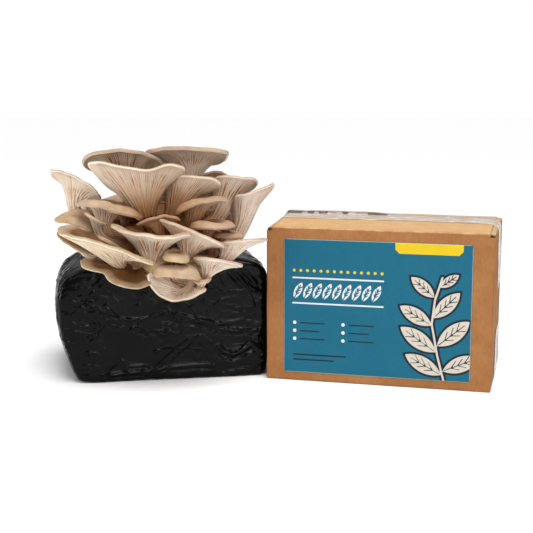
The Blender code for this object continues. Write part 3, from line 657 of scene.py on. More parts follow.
def label_material():
    """Printed paper: teal ground, yellow tab, cream leaves with dark outlines, white rows."""
    s = Shading("printed_label")
    place = s.local()
    print_noise = s.noise(place, 3.0, 4.0, 0.6)
    cloud = s.noise(place, 40.0, 2.0)
    ink = (0.006, 0.013, 0.022)
    teal = s.mix(cloud, (0.002, 0.092, 0.152), (0.005, 0.107, 0.175))
    teal = s.lay(teal, (0.012, 0.165, 0.255), print_noise, 0.35, 0.7, 0.12)
    sprig = s.field("sprig")
    cream = s.mix(print_noise, (0.50, 0.45, 0.38), (0.56, 0.51, 0.44))
    colour = s.lay(teal, cream, sprig, 0.12, -0.12)
    outline = s.spread(s.sum("ABSOLUTE", sprig, 0.0), 1.15, 0.95)
    vein = s.sum("MULTIPLY", s.spread(s.field("vein"), 0.5, 0.36), s.spread(sprig, 0.0, -0.3))
    colour = s.mix(s.sum("MAXIMUM", outline, vein), colour, ink)
    for print_name, tone in (("white_print", (0.62, 0.65, 0.67)),
                             ("yellow_print", (0.62, 0.44, 0.008)), ("dark_print", ink)):
        colour = s.lay(colour, tone, s.field(print_name), 0.1, -0.1)
    colour = s.lay(colour, (0.30, 0.42, 0.46), s.field("border"), 0.4, 0.2)
    normal = s.bump(s.noise(place, 0.7, 3.0, 0.6), 0.03, 0.4)
    normal = s.bump(s.noise(place, 25.0, 2.0), 0.5, 0.3, under=normal)
    return s.finish(Base_Color=colour, Roughness=s.spread(print_noise, 0.3, 0.7, 0.42, 0.56),
                    Normal=normal, Specular_IOR_Level=0.2)


def tape_material():
    """Clear packing tape, whitish where it has wrinkled or lifted from the board."""
    s = Shading("packing_tape")
    streak = s.noise(s.local((0.14, 1.0, 0.14)), 2.2, 4.0, 0.6, 0.5)
    patch = s.noise(s.local((0.5, 1.0, 0.5)), 13.0, 3.0, 0.6, 0.4)
    fine = s.noise(s.local(), 1.2, 3.0, 0.6)
    white = s.sum("MULTIPLY", s.spread(streak, 0.42, 0.66), s.spread(patch, 0.35, 0.6, 0.25, 1.0))
    colour = s.mix(white, (0.83, 0.70, 0.58), (0.95, 0.93, 0.91))
    alpha = s.spread(white, 0.0, 1.0, 0.5, 0.92)
    alpha = s.sum("MULTIPLY", alpha, s.spread(s.field("clear"), 0.0, 1.0, 1.0, 0.05))
    normal = s.bump(streak, 0.5, 0.5)
    normal = s.bump(patch, 0.8, 0.4, under=normal)
    normal = s.bump(fine, 0.08, 0.4, under=normal)
    return s.finish(Base_Color=colour, Alpha=alpha, Normal=normal,
                    Roughness=s.spread(fine, 0.3, 0.7, 0.12, 0.26))


def base_material():
    """The fused base: pale lumpy flesh, with painted brown shade in its folds."""
    s = Shading("base_flesh")
    place = s.local()
    patch = s.noise(place, 9.0, 4.0, 0.6)
    grain = s.noise(place, 1.2, 3.0, 0.7)
    # Painted shade: dark brown in the folds between the lumps
    colour = s.mix(s.field("fold"), (0.56, 0.37, 0.20), (0.20, 0.078, 0.022))
    colour = s.lay(colour, (0.48, 0.29, 0.14), patch, 0.35, 0.7, 0.5)
    colour = s.lay(colour, (0.78, 0.62, 0.44), grain, 0.4, 0.7, 0.3)
    normal = s.bump(patch, 1.0, 0.5)
    normal = s.bump(grain, 0.2, 0.5, under=normal)
    return s.finish(Base_Color=colour, Roughness=s.spread(patch, 0.3, 0.7, 0.55, 0.75),
                    Normal=normal, Subsurface_Weight=0.1,
                    Subsurface_Radius=FLESH_GLOW, Subsurface_Scale=1.0)


def mushroom_material(name):
    """Oyster mushroom flesh: pale gills with painted brown shade in their valleys, a tan top, a
    cream edge, and painted shade deep in the cluster.
    """
    gill, valley_shade_tone, top, centre, edge, rim_from, middle_at = FLESH[name]
    s = Shading("flesh_" + name)
    place = s.local()
    ridge = s.field("ridge")
    reach = s.field("reach")
    over = s.field("over")
    bead = s.field("bead")
    tone = s.field("tone")
    cloud = s.noise(place, 22.0, 3.0)
    patch = s.noise(place, 7.0, 4.0, 0.6)
    grain = s.noise(place, 1.1, 3.0, 0.7)

    # Painted shade: the valleys between the gills are darkened brown where the clouds are and near
    # the neck, and stop short of the rim
    depth = s.spread(ridge, 0.8, 0.1)
    dashes = s.sum("MULTIPLY", s.spread(reach, 0.99, 0.84), s.spread(reach, 0.05, 0.5))
    cloudy = s.spread(cloud, 0.40, 0.58, 0.35, 1.0)
    toned = s.spread(tone, 0.1, 0.9, 0.4, 1.25)
    brown = s.sum("MULTIPLY", dashes, s.sum("MULTIPLY", cloudy, toned))
    brown = s.sum("MAXIMUM", brown, s.spread(reach, 0.45, 0.0, 0.0, 0.75))
    gills = s.mix(s.sum("MULTIPLY", depth, brown), gill, valley_shade_tone)
    gills = s.lay(gills, tuple(c * 0.72 for c in gill), patch, 0.45, 0.75, 0.35)

    # The top is darker to its middle, with faint streaks; in the shaded tones the dark middle is
    # painted shade
    tops = s.mix(s.spread(reach, rim_from, middle_at), top, centre)
    tops = s.lay(tops, centre, patch, 0.4, 0.7, 0.4)
    colour = s.mix(over, gills, tops)
    band = s.sum("MULTIPLY", s.spread(reach, 0.86, 0.96), s.spread(cloud, 0.35, 0.6, 0.1, 0.45))
    colour = s.mix(band, colour, centre)
    colour = s.mix(s.sum("MULTIPLY", bead, 0.75), colour, edge)
    colour = s.lay(colour, valley_shade_tone, grain, 0.35, 0.65, 0.16)
    # Painted shade: darker and browner deep in the cluster, towards the mound's middle
    colour = s.mix(s.field("deep"), colour, DEEP_SHADE_TINT, "MULTIPLY")
    normal = s.bump(grain, 0.12, 0.6)
    normal = s.bump(patch, 0.6, 0.4, under=normal)
    return s.finish(Base_Color=colour, Roughness=s.spread(patch, 0.3, 0.7, 0.5, 0.68),
                    Normal=normal, Subsurface_Weight=0.12,
                    Subsurface_Radius=FLESH_GLOW, Subsurface_Scale=1.0,
                    Specular_IOR_Level=0.35)


def mound_point(foot):
    """A point on the mound and the way out from it."""
    along, angle = foot
    centre = np.array(MOUND_CENTRE)
    radii = np.array(MOUND_RADII)
    girth = math.sqrt(1.0 - (along / radii[0]) ** 2)
    turn = math.radians(angle)
    point = np.array([along, -radii[1] * girth * math.cos(turn),
                      radii[2] * girth * math.sin(turn)])
    out = unit(point / radii ** 2)
    return centre + point + out * MOUND_GAP, out


def cap_rim(spec, phi):
    """The rim as a smooth loop through its four points, with its ripples."""
    front, right, back, left = (np.array(p, float) for p in
                                (spec.front, spec.right, spec.back, spec.left))
    centre = (front + right + back + left) / 4
    fore = (front - back) / 2
    side = (right - left) / 2
    twist = (front + back - right - left) / 4
    angle = phi[:, None]
    loop = centre + fore * np.cos(angle) + side * np.sin(angle) + twist * np.cos(2 * angle)
    axis = unit(np.cross(fore, side))
    upward = np.array(spec.lean, float) if spec.lean else centre - spec.neck
    if np.dot(axis, upward) < 0:
        axis = -axis
    for at, width, lift, push in spec.ripples:
        away = np.abs((phi - math.radians(at) + math.pi) % (2 * math.pi) - math.pi)
        weight = np.exp(-(away / math.radians(width)) ** 2)[:, None]
        out = loop - centre
        out = out / np.linalg.norm(out, axis=1)[:, None]
        loop = loop + weight * (lift * axis + push * out)
    return loop, axis, centre, fore, side


def even_angles(spec):
    """Angles round the rim, two for each gill, whose points lie evenly along it."""
    dense = np.linspace(0.0, 2.0 * math.pi, 721)
    loop = cap_rim(spec, dense)[0]
    steps = np.linalg.norm(np.diff(loop, axis=0), axis=1)
    along = np.concatenate([[0.0], np.cumsum(steps)])
    gills = 8 * max(round(along[-1] / GILL_PITCH / 8), 3)
    places = np.linspace(0.0, along[-1], 2 * gills, endpoint=False)
    return np.interp(places, along, dense), along[-1]


def waves(phi, rng, size, first, last):
    """A small random wave round a rim, from a few whole numbers of turns."""
    total = np.zeros_like(phi)
    for turns in range(first, last):
        share = rng.normal() / turns ** 0.7
        total += share * np.sin(turns * phi + rng.uniform(0.0, 2.0 * math.pi))
    return size * total


def stem_direction(spec, foot, out, centre, axis):
    """The way the stem points where it meets the cap, never far from the cap's axis."""
    length = np.linalg.norm(spec.neck - foot)
    knee = foot + out * length * 0.45
    own = min(max((length - 8.0) / LONG_STEM, 0.0), 1.0)
    stem = unit(own * unit(spec.neck - knee) + 0.9 * unit(centre - spec.neck))
    if spec.lean:
        stem = unit(np.array(spec.lean, float))
    furthest = math.radians(STEM_FROM_AXIS)
    if np.dot(stem, axis) < math.cos(furthest):
        stem = math.cos(furthest) * axis + math.sin(furthest) * unit(off_axis(stem, axis))
    return stem


def stem_rings(spec, phi, foot, out, stem, first, second):
    """Rings up a bent stem, from its flared foot in the mound to just below the neck."""
    neck = spec.neck
    length = np.linalg.norm(neck - foot)
    toward = unit(neck - foot)
    bend = min(length / LONG_STEM, 1.0)
    pull = foot + out * length * spec.spring
    lead = neck - unit(toward + bend * (stem - toward)) * length * 0.4
    hand = np.dot(np.cross(stem, first), second)
    across = first
    rings = []
    for row in reversed(range(STEM_ROWS)):
        t = row / STEM_ROWS
        s = 1.0 - t
        middle = s**3 * foot + 3 * s * s * t * pull + 3 * s * t * t * lead + t**3 * neck
        along = unit(s * s * (pull - foot) + 2 * s * t * (lead - pull) + t * t * (neck - lead))
        across = unit(off_axis(across, along))
        beside = hand * np.cross(along, across)
        radius = spec.foot_radius + (spec.neck_radius - spec.foot_radius) * t
        radius += FOOT_FLARE * spec.foot_radius * math.exp(-t * length / FLARE_HEIGHT)
        rings.insert(0, middle + radius * (np.cos(phi)[:, None] * across
                                           + np.sin(phi)[:, None] * beside))
    sunk = foot + (rings[0] - foot) * 1.15 - out * SINK
    return np.array([sunk] + rings)


def lip_lengths(spec, phi):
    """The lip's length round the rim, blended between its four sides."""
    fore, right, back, left = np.broadcast_to(spec.lip, 4)
    cosine = np.cos(phi)
    sine = np.sin(phi)
    lengths = (fore * np.maximum(cosine, 0) ** 2 + back * np.minimum(cosine, 0) ** 2
               + right * np.maximum(sine, 0) ** 2 + left * np.minimum(sine, 0) ** 2)
    return lengths[:, None]


def gill_side(spec, phi, rim, axis, stem, first, second, t):
    """The gill side as rows of points, and its normals towards the top."""
    start = spec.neck + spec.neck_radius * (np.cos(phi)[:, None] * first
                                            + np.sin(phi)[:, None] * second)
    span = np.linalg.norm(rim - start, axis=1)[:, None]
    away = units(off_line(rim - spec.neck, axis))
    lip = np.minimum(lip_lengths(spec, phi), 0.7 * span)
    near = start + stem * span * spec.throat
    far = rim - away * (lip + 0.1 * span) + axis * lip * math.tan(math.radians(spec.droop))
    straight = np.maximum(spec.fullness, 1.0 - span / SHORT_SPAN)
    near = near + straight * (start + (rim - start) / 3 - near)
    far = far + straight * (start + (rim - start) / 1.5 - far)
    t = t[:, None, None]
    s = 1 - t
    rows = s**3 * start + 3 * s**2 * t * near + 3 * s * t * t * far + t**3 * rim
    along = np.gradient(rows, axis=0)
    around = np.roll(rows, -1, 1) - np.roll(rows, 1, 1)
    normal = units(np.cross(around, along))
    if (normal[-2] @ axis).mean() < 0:
        normal = -normal
    return rows, normal, span[:, 0], np.linalg.norm(around, axis=2) / 2


def gill_heights(columns, t, span, pitch, rng):
    """How high each point stands on the gill side, and how the relief fades at the rim.

    Full gills run all the way. The short ones come after every so many columns, and start
    that share of the way out.
    """
    column = np.arange(columns)
    shift = rng.uniform(-0.12, 0.12, columns // 2)
    full = 16 if columns >= 160 else 8
    t = t[:, None]
    height = np.zeros((len(t), columns))
    for every, start in ((full, -1.0), *SHORT_GILLS):
        nearest = np.round(column / every).astype(int) * every
        crest = np.exp(-(np.abs(column - nearest) * pitch / GILL_HALF) ** 2)
        start = start + shift[(nearest // 2) % len(shift)]
        height = np.maximum(height, crest * smooth((t - start) / GILL_RISE))
    fade = smooth((1.0 - t) * span / GILL_FADE)
    return height, fade


def bead_rows(spec, edge, normal, edge_out):
    """The rounded rim, from the gill side round to the top."""
    turns = np.linspace(-math.pi / 2, math.pi / 2, BEAD_ROWS + 2)[1:-1, None, None]
    return edge + spec.rim / 2 * (normal * (1 + np.sin(turns)) + edge_out * np.cos(turns))


def top_rows(spec, gills, normal, t, top_t, stem, span):
    """The top from the rim inwards: the gill side, lifted by the flesh."""
    rows = []
    for value in top_t:
        place = np.interp(value, t, np.arange(GILL_ROWS + 1))
        low = int(place)
        high = min(low + 1, GILL_ROWS)
        share = place - low
        under = gills[low] * (1 - share) + gills[high] * share
        lift = units(normal[low] * (1 - share) + normal[high] * share)
        inward = np.linalg.norm(under - gills[-1], axis=1)
        thick = spec.rim + (spec.flesh - spec.rim) * (1 - np.exp(-inward / spec.roll))
        reach = np.linalg.norm(off_line(under - spec.neck, stem), axis=1)
        thick = np.minimum(thick, FLESH_OF_REACH * reach)
        thick = np.minimum(thick, spec.rim + FLESH_OF_SPAN * span)
        rows.append(under + lift * thick[:, None])
    return np.array(rows)


def stacked(stretches, parts, columns):
    """One field over all the rows, from a number or an array for each stretch of them."""
    rows = []
    for stretch, value in zip(stretches, parts):
        value = np.asarray(value, float)
        if value.ndim == 1:
            value = value[:, None]
        rows.append(np.broadcast_to(value, (len(stretch), columns)))
    return np.concatenate(rows)


def mushroom_mesh(spec, rng):
    """Points, faces and surface fields of one mushroom."""
    foot, out = mound_point(spec.foot)
    phi, perimeter = even_angles(spec)
    columns = len(phi)
    rim, axis, centre, fore, side = cap_rim(spec, phi)
    for number, (size, least, most) in enumerate(RIM_WAVES):
        wave = waves(phi, rng, size * min(perimeter / SMALL_RIM, 1.0), least, most)
        rim = rim + wave[:, None] * (units(rim - centre) if number else axis)
    stem = stem_direction(spec, foot, out, centre, axis)
    first = unit(off_axis(fore, stem))
    second = np.cross(stem, first)
    if np.dot(second, side) < 0:
        second = -second

    # Gill side with its ridges
    t = 1 - (1 - np.linspace(0.0, 1.0, GILL_ROWS + 1)) ** GILL_CROWDING
    gills, normal, span, pitch = gill_side(spec, phi, rim, axis, stem, first, second, t)
    height, fade = gill_heights(columns, t, span, pitch, rng)
    depth = np.minimum(GILL_DEPTH, GILL_STEEPEST * pitch) * fade
    ridged = gills - normal * ((height - GILL_MEAN) * depth)[..., None]

    # Stem, whose long ridges run out towards the foot
    stems = stem_rings(spec, phi, foot, out, stem, first, second)
    rows_up = np.linspace(0.0, 1.0, len(stems))[:, None]
    run_out = rows_up ** RUN_OUT
    run = height[:1] * run_out
    relief = (run - GILL_MEAN * run_out) * depth[:1]
    stems = stems + units(stems - stems.mean(1, keepdims=True)) * relief[..., None]

    # Rounded rim, the top and the hollow in its middle
    beads = bead_rows(spec, gills[-1], normal[-1], units(np.gradient(gills, axis=0)[-1]))
    top_t = np.linspace(1.0, HOLLOW_EDGE, TOP_ROWS + 1)
    tops = top_rows(spec, gills, normal, t, top_t, stem, span)
    hollow = tops[-1].mean(0) - stem
    inwards = smooth(np.linspace(0.0, 1.0, HOLLOW_ROWS + 1)[1:-1, None, None])
    stretches = (stems, ridged, beads, tops, tops[-1] + (hollow - tops[-1]) * inwards)
    grid = np.concatenate(stretches)
    verts = np.concatenate([grid.reshape(-1, 3), [foot - out * SINK, hollow]])

    tone = rng.uniform(0.0, 1.0, columns // 2)[np.arange(columns) // 2]
    bead_tone = smooth(1.0 - np.arange(BEAD_ROWS) / 1.6)
    parts = {
        "ridge": (0.5 + (run - 0.5) * rows_up, 0.5 + (height - 0.5) * fade, 0.5, 0.5, 0.5),
        "reach": (0.0, t, 1.0, top_t, HOLLOW_EDGE),
        "over": (0.0, 0.0, 1.0, 1.0, 1.0),
        "bead": (0.0, smooth((t - 0.985) / 0.015), bead_tone, 0.0, 0.0),
        "tone": [tone[None, :]] * len(stretches),
    }
    fields = {}
    for name, values in parts.items():
        values = stacked(stretches, values, columns).ravel()
        fields[name] = np.append(values, values[[0, -1]])
    # Painted shade deep in the cluster: how far in towards the mound's middle each point lies
    out_from_mound = np.linalg.norm((verts - np.array(MOUND_CENTRE)) / DEEP_SHADE_RADII, axis=1)
    fields["deep"] = 1.0 - smooth((out_from_mound - 0.38) / 0.5)

    index, quads = ring_quads(len(grid), columns)
    quads = facing_out(verts, quads)
    turned = quads[0, 0] != 0
    faces = (quads.tolist() + closing_fan(grid.size // 3, index[0], not turned)
             + closing_fan(grid.size // 3 + 1, index[-1], turned))
    return verts, faces, fields


def build_cluster():
    """The mushrooms that stand for a solid each, and the small ones between them."""
    flesh = {name: mushroom_material(name) for name in FLESH}
    for number, spec in enumerate(CLUSTER):
        verts, faces, fields = mushroom_mesh(spec, np.random.default_rng(100 + number))
        add_piece(spec.name.replace("mushroom_", "oyster_"), verts, faces, KIT_PLACE,
                  flesh[spec.tone], spec.name, fields)
    for number, spec in enumerate(INNER):
        verts, faces, fields = mushroom_mesh(spec, np.random.default_rng(200 + number))
        add_piece(spec.name, verts, faces, KIT_PLACE, flesh[spec.tone], None, fields)


def noise_at(points, size, shift=0.0):
    """Smooth noise, about -1 to 1, with features of that size in mm."""
    return np.array([noise.noise(p) for p in (points / np.array(size) + shift).tolist()])


def lumpy_ball(centre, radii, rows, columns, lowest, name, mat, node):
    """An ellipsoid of fused lumps, held above a lowest level."""
    up = np.linspace(0.0, math.pi, rows + 2)[1:-1, None]
    around = np.linspace(0.0, 2 * math.pi, columns, endpoint=False)[None, :]
    ball = np.stack([np.sin(up) * np.cos(around), np.sin(up) * np.sin(around),
                     np.cos(up) * np.ones_like(around)], -1).reshape(-1, 3)
    ball = np.concatenate([ball, [[0, 0, 1], [0, 0, -1]]])
    radii = np.array(radii)
    points = ball * radii
    out = units(ball / radii)
    lumps = noise_at(points, LUMP_SIZES[0]) + 0.5 * noise_at(points, LUMP_SIZES[1], 7.0)
    verts = np.array(centre) + points + out * (LUMP_HEIGHT * lumps - 0.6)[:, None]
    verts[:, 2] = np.maximum(verts[:, 2], lowest)
    index, quads = ring_quads(rows, columns)
    faces = (quads[:, [0, 3, 2, 1]].tolist() + closing_fan(rows * columns, index[0], False)
             + closing_fan(rows * columns + 1, index[-1], True))
    # Painted shade in the folds between the lumps
    fields = {"fold": smooth(0.35 - lumps)}
    add_piece(name, verts, faces, KIT_PLACE, mat, node, fields)


def build_base():
    """The fused base on the block, and its lumps that hang over the block's front edge."""
    mat = base_material()
    lumpy_ball(MOUND_CENTRE, MOUND_RADII, 60, 120, BAG_HEIGHT - 9.0, "fused_base", mat,
               "cluster_base")
    lumpy_ball(APRON_CENTRE, APRON_RADII, 40, 90, APRON_FOOT, "fused_apron", mat, None)


def bag_skin():
    """Points, faces and normals of the block's smooth skin, remeshed evenly, in mm."""
    bm = bmesh.new()
    bmesh.ops.create_cube(bm, size=2.0)
    bmesh.ops.subdivide_edges(bm, edges=bm.edges, cuts=3, use_grid_fill=True)
    for vert in bm.verts:
        across, deep, up = (math.copysign(BAG_EDGE, c) if 0.0 < abs(c) < 1.0 else c
                            for c in vert.co)
        if up == -BAG_EDGE:
            up = -BAG_FOOT_EDGE
        belly = (1.0 - up * up) ** 0.5
        x = BAG_LENGTH / 2 * (1.0 + across)
        y = BAG_DEPTH / 2 * (1.0 + deep)
        z = BAG_HEIGHT / 2 * (1.0 + up)
        if across < 0:
            x += BAG_LEFT_BULGE * belly * across * (1.0 + BAG_TOP_WIDER * up)
        else:
            x += BAG_RIGHT_BULGE * belly * across
        y += BAG_BACK_BULGE * belly * max(deep, 0.0)
        if up > 0.0:
            z -= BAG_SHOULDER * across ** 4
        vert.co = (x, y, z)
    mesh = bpy.data.meshes.new("film_cage")
    bm.to_mesh(mesh)
    bm.free()
    cage = new_object("film_cage", mesh)
    cage.modifiers.new("rounding", "SUBSURF").levels = 4
    even = cage.modifiers.new("even", "REMESH")
    even.mode = "VOXEL"
    even.voxel_size = FILM_CELL
    evaluated = cage.evaluated_get(bpy.context.evaluated_depsgraph_get())
    skin = evaluated.to_mesh()
    verts = np.empty(len(skin.vertices) * 3)
    skin.vertices.foreach_get("co", verts)
    normals = np.empty(len(skin.vertices) * 3)
    skin.vertices.foreach_get("normal", normals)
    faces = [tuple(face.vertices) for face in skin.polygons]
    evaluated.to_mesh_clear()
    bpy.data.objects.remove(cage)
    bpy.data.meshes.remove(mesh)
    return verts.reshape(-1, 3), faces, normals.reshape(-1, 3)


def crease_lift(flat, crease):
    """How far one crease lifts each point of a side: a ridge with a hollow under it."""
    best = np.full(len(flat), 1e9)
    lift = np.zeros(len(flat))
    path = np.array(crease.points, float)
    steps = np.linalg.norm(np.diff(path, axis=0), axis=1)
    before = np.concatenate([[0.0], np.cumsum(steps)])
    for a, b, step, start in zip(path, path[1:], steps, before):
        along = (b - a) / step
        place = np.clip((flat - a) @ along, 0.0, step)
        away = flat - a - place[:, None] * along
        aside = along[0] * away[:, 1] - along[1] * away[:, 0]
        far = np.linalg.norm(away, axis=1)
        share = (start + place) / before[-1]
        taper = np.sqrt(np.maximum(4.0 * share * (1.0 - share), 0.0))
        signed = np.where(aside < 0, -far, far)
        ridge = np.exp(-(signed / crease.width / CREASE_WIDER) ** 2)
        hollow = np.exp(-(signed / crease.width / CREASE_WIDER + 1.6) ** 2)
        here = taper * (ridge - 0.6 * hollow) * crease.height * CREASE_TALLER
        closer = far < best
        best = np.where(closer, far, best)
        lift = np.where(closer, here, lift)
    return lift


def stray_creases(rng, count, slope, width, height):
    """Creases scattered over a side of that size, turned from level as far as the slope says."""
    made = []
    for _ in range(count):
        start = np.array([rng.uniform(-5, width), rng.uniform(2, height)])
        length = rng.uniform(*STRAY_LENGTH)
        turn = rng.normal(0.0, slope)
        middle = start + length / 2 * np.array([math.cos(turn), math.sin(turn)])
        turn += rng.normal(0.0, 0.35)
        end = middle + length / 2 * np.array([math.cos(turn), math.sin(turn)])
        made.append(Crease((tuple(start), tuple(middle), tuple(end)),
                           rng.uniform(*STRAY_WIDTH), rng.uniform(*STRAY_HEIGHT)))
    return made


def build_bag():
    """The block in its film, with the creases of each side pressed into the skin."""
    verts, faces, normals = bag_skin()
    rng = np.random.default_rng(7)
    across = verts[:, [0, 2]]
    deep = verts[:, [1, 2]]
    level = verts[:, [0, 1]]
    sides = [(-normals[:, 1], across, FRONT_CREASES)]
    others = ((normals[:, 1], across), (-normals[:, 0], deep), (normals[:, 0], deep),
              (normals[:, 2], level))
    for side, amount, size in zip(others, STRAY_CREASES, SIDE_SIZES):
        sides.append((*side, stray_creases(rng, *amount, *size)))
    lift = SWELL_HEIGHT * noise_at(verts, SWELL_SIZE)
    for facing, flat, creases in sides:
        part = smooth((facing - 0.35) / 0.4)
        shown = part > 0.0
        total = sum(crease_lift(flat[shown], crease) for crease in creases)
        lift[shown] += part[shown] * total

    # Gathered pleats down the left end, and smaller crumples near the ends and the foot
    left_end = smooth((-normals[:, 0] - 0.25) / 0.5)
    bent = verts + 2.5 * noise_at(verts, 16.0)[:, None]
    pleats = 1.0 - 2.2 * np.abs(noise_at(bent, PLEAT_SIZE))
    lift += left_end * PLEAT_HEIGHT * pleats
    near_end = np.maximum(smooth(1.0 - verts[:, 0] / 40.0), smooth((verts[:, 0] - 135) / 40.0))
    near_foot = smooth(1.0 - verts[:, 2] / 22.0)
    crumple = 1.0 - 2.5 * np.abs(noise_at(verts, CRUMPLE_SIZE, 3.0))
    lift += CRUMPLE_HEIGHT * crumple * np.maximum(near_end, near_foot)
    verts = verts + normals * lift[:, None]
    verts[:, 2] = np.maximum(verts[:, 2], 0.05)
    add_piece("film_wrap", verts, faces, BLOCK_PLACE, film_material(), "bag")


def shell_grid(lines):
    """Points of a closed box on three sets of grid lines, and its faces."""
    counts = [len(line) for line in lines]
    shell = np.zeros(counts, bool)
    shell[[0, -1]] = True
    shell[:, [0, -1]] = True
    shell[:, :, [0, -1]] = True
    index = np.full(counts, -1)
    index[shell] = np.arange(shell.sum())
    verts = np.stack([line[place] for line, place in zip(lines, np.nonzero(shell))], 1)
    faces = []
    for axis in range(3):
        for end in (0, -1):
            sheet = np.take(index, end, axis=axis)
            quads = np.stack([sheet[:-1, :-1], sheet[1:, :-1], sheet[1:, 1:], sheet[:-1, 1:]], -1)
            quads = quads.reshape(-1, 4)
            outward = (end == -1) == (axis != 1)
            faces.append(quads if outward else quads[:, ::-1])
    return verts, np.concatenate(faces)


def side_lines(length, extra=()):
    """Grid lines along one side of the carton, crowded near its two ends."""
    crowd = np.array(CARTON_CROWD)
    count = round((length - 2 * crowd[-1]) / CARTON_CELL) + 1
    middle = np.linspace(crowd[-1], length - crowd[-1], count)
    return np.unique(np.concatenate([crowd, middle, length - crowd, extra]).round(3))


def panel_warp(points):
    """How far the board bows and dents at points on the carton's faces."""
    share = points / CARTON_SIZE
    side = 2.0 * share - 1.0
    wave = np.sin(math.pi * np.clip(share, 0.0, 1.0))
    bow = np.stack([wave[:, 1] * wave[:, 2], wave[:, 0] * wave[:, 2], wave[:, 0] * wave[:, 1]], 1)
    dent = np.stack([noise_at(points, PANEL_DENT_SIZE, shift) for shift in (0.0, 11.0, 23.0)], 1)
    warp = side * (bow * np.array(PANEL_BOW) + PANEL_DENT * dent)
    on_top = points[:, 2] > CARTON_HEIGHT - 3.0
    seam = CARTON_DEPTH / 2
    ends = np.minimum(points[:, 0], CARTON_LENGTH - points[:, 0])
    slope = 1.0 - np.abs(points[:, 1] - seam) / seam
    back_flap = (points[:, 1] > seam) * smooth((125.0 - points[:, 0]) / 40.0)
    tent = (FLAP_RISE * slope + BACK_FLAP_STEP * back_flap * slope) * smooth(ends / 9.0 + 0.2)
    warp[:, 2] += on_top * (tent - 0.9 * smooth((5.5 - ends) / 1.2))
    return warp


def build_carton():
    """The taped carton: rounded edges, bowed panels, the seam and the notched corners."""
    seam = CARTON_DEPTH / 2
    slot = SEAM_WIDTH / 2
    depths = (seam - slot - 0.5, seam - slot, seam + slot, seam + slot + 0.5)
    points, faces = shell_grid([side_lines(CARTON_LENGTH), side_lines(CARTON_DEPTH, depths),
                                side_lines(CARTON_HEIGHT)])
    radius = (CARTON_ROUND + 0.7 * noise_at(points, 22.0, 5.0))[:, None]
    inner = np.clip(points, radius, CARTON_SIZE - radius)
    verts = inner + radius * units(points - inner) + panel_warp(points)

    # The seam is sunk on the top and the bottom, the notches at the four top corners, and painted
    # shade is laid in the seam, at the flaps' ends, along the back flap's cut edge and in the
    # notches
    level = (points[:, 2] < 0.01) | (points[:, 2] > CARTON_HEIGHT - 0.01)
    sunk = level & (np.abs(points[:, 1] - seam) < slot + 0.01)
    verts[sunk, 2] += np.where(points[sunk, 2] > 1.0, -BOARD, BOARD)
    flap_end = np.abs(np.minimum(points[:, 0], CARTON_LENGTH - points[:, 0]) - 5.0) < 0.7
    gap = np.maximum(sunk, 0.45 * (flap_end & level))
    cut = level & (np.abs(points[:, 1] - seam - slot - 0.5) < 0.01)
    gap = np.maximum(gap, 0.95 * cut * smooth((118.0 - points[:, 0]) / 10.0))
    for x, y in ((0.0, 0.0), (0.0, CARTON_DEPTH), (CARTON_LENGTH, 0.0),
                 (CARTON_LENGTH, CARTON_DEPTH)):
        corner = np.array([x, y, CARTON_HEIGHT])
        inward = np.append(np.sign(CARTON_SIZE / 2 - corner)[:2], -0.7)
        away = (np.abs(points - corner - inward * NOTCH_IN) / NOTCH).max(1)
        hole = smooth((1.2 - away) / 0.3)
        verts += hole[:, None] * BOARD * unit(inward)
        gap = np.maximum(gap, hole)

    verts[:, 2] = np.maximum(verts[:, 2], 0.0)
    inset = np.sort(np.minimum(points, CARTON_SIZE - points), axis=1)
    # The top faces, painted lighter than the sides as painted light
    upward = (points[:, 2] > CARTON_HEIGHT - 0.5).astype(float)
    on_end = np.minimum(points[:, 0], CARTON_LENGTH - points[:, 0]) < 0.01
    fields = {
        "gap": gap,
        "edge": np.exp(-inset[:, 1] / 1.6),
        "upward": upward,
        "flute": np.where(on_end, points[:, 1], points[:, 0]),
    }
    add_piece("board_box", verts, faces, CARTON_PLACE, kraft_material(),
              "carton", fields)


def leaf_distance(flat, foot, turn, length, width):
    """Distance outside a pointed leaf at that turn in degrees, and from its ribs."""
    turn = math.radians(turn)
    along = np.array([math.cos(turn), math.sin(turn)])
    aside = np.array([-along[1], along[0]])
    middle = np.array(foot) + along * length / 2
    radius = (length ** 2 + width ** 2) / (4 * width)
    shift = aside * (radius - width / 2)
    outside = np.maximum(np.linalg.norm(flat - middle - shift, axis=1),
                         np.linalg.norm(flat - middle + shift, axis=1)) - radius
    rib = line_distance(flat, foot, np.array(foot) + along * length * 0.82)
    for place in LEAF_RIBS:
        root = np.array(foot) + along * length * place
        for hand in (1, -1):
            tip = root + length * 0.17 * along + hand * aside * width * 0.27
            rib = np.minimum(rib, line_distance(flat, root, tip))
    return outside, rib


def line_distance(flat, start, end):
    """Distance from a straight line between two points."""
    start = np.array(start, float)
    step = np.array(end, float) - start
    place = np.clip((flat - start) @ step / (step @ step), 0.0, 1.0)
    return np.linalg.norm(flat - start - place[:, None] * step, axis=1)


def block_distance(flat, low, high, corner=0.0):
    """Distance outside a rectangle with round corners."""
    middle = (np.array(low) + high) / 2
    half = (np.array(high) - low) / 2 - corner
    away = np.abs(flat - middle) - half
    return (np.linalg.norm(np.maximum(away, 0.0), axis=1) + np.minimum(away.max(1), 0.0)
            - corner)


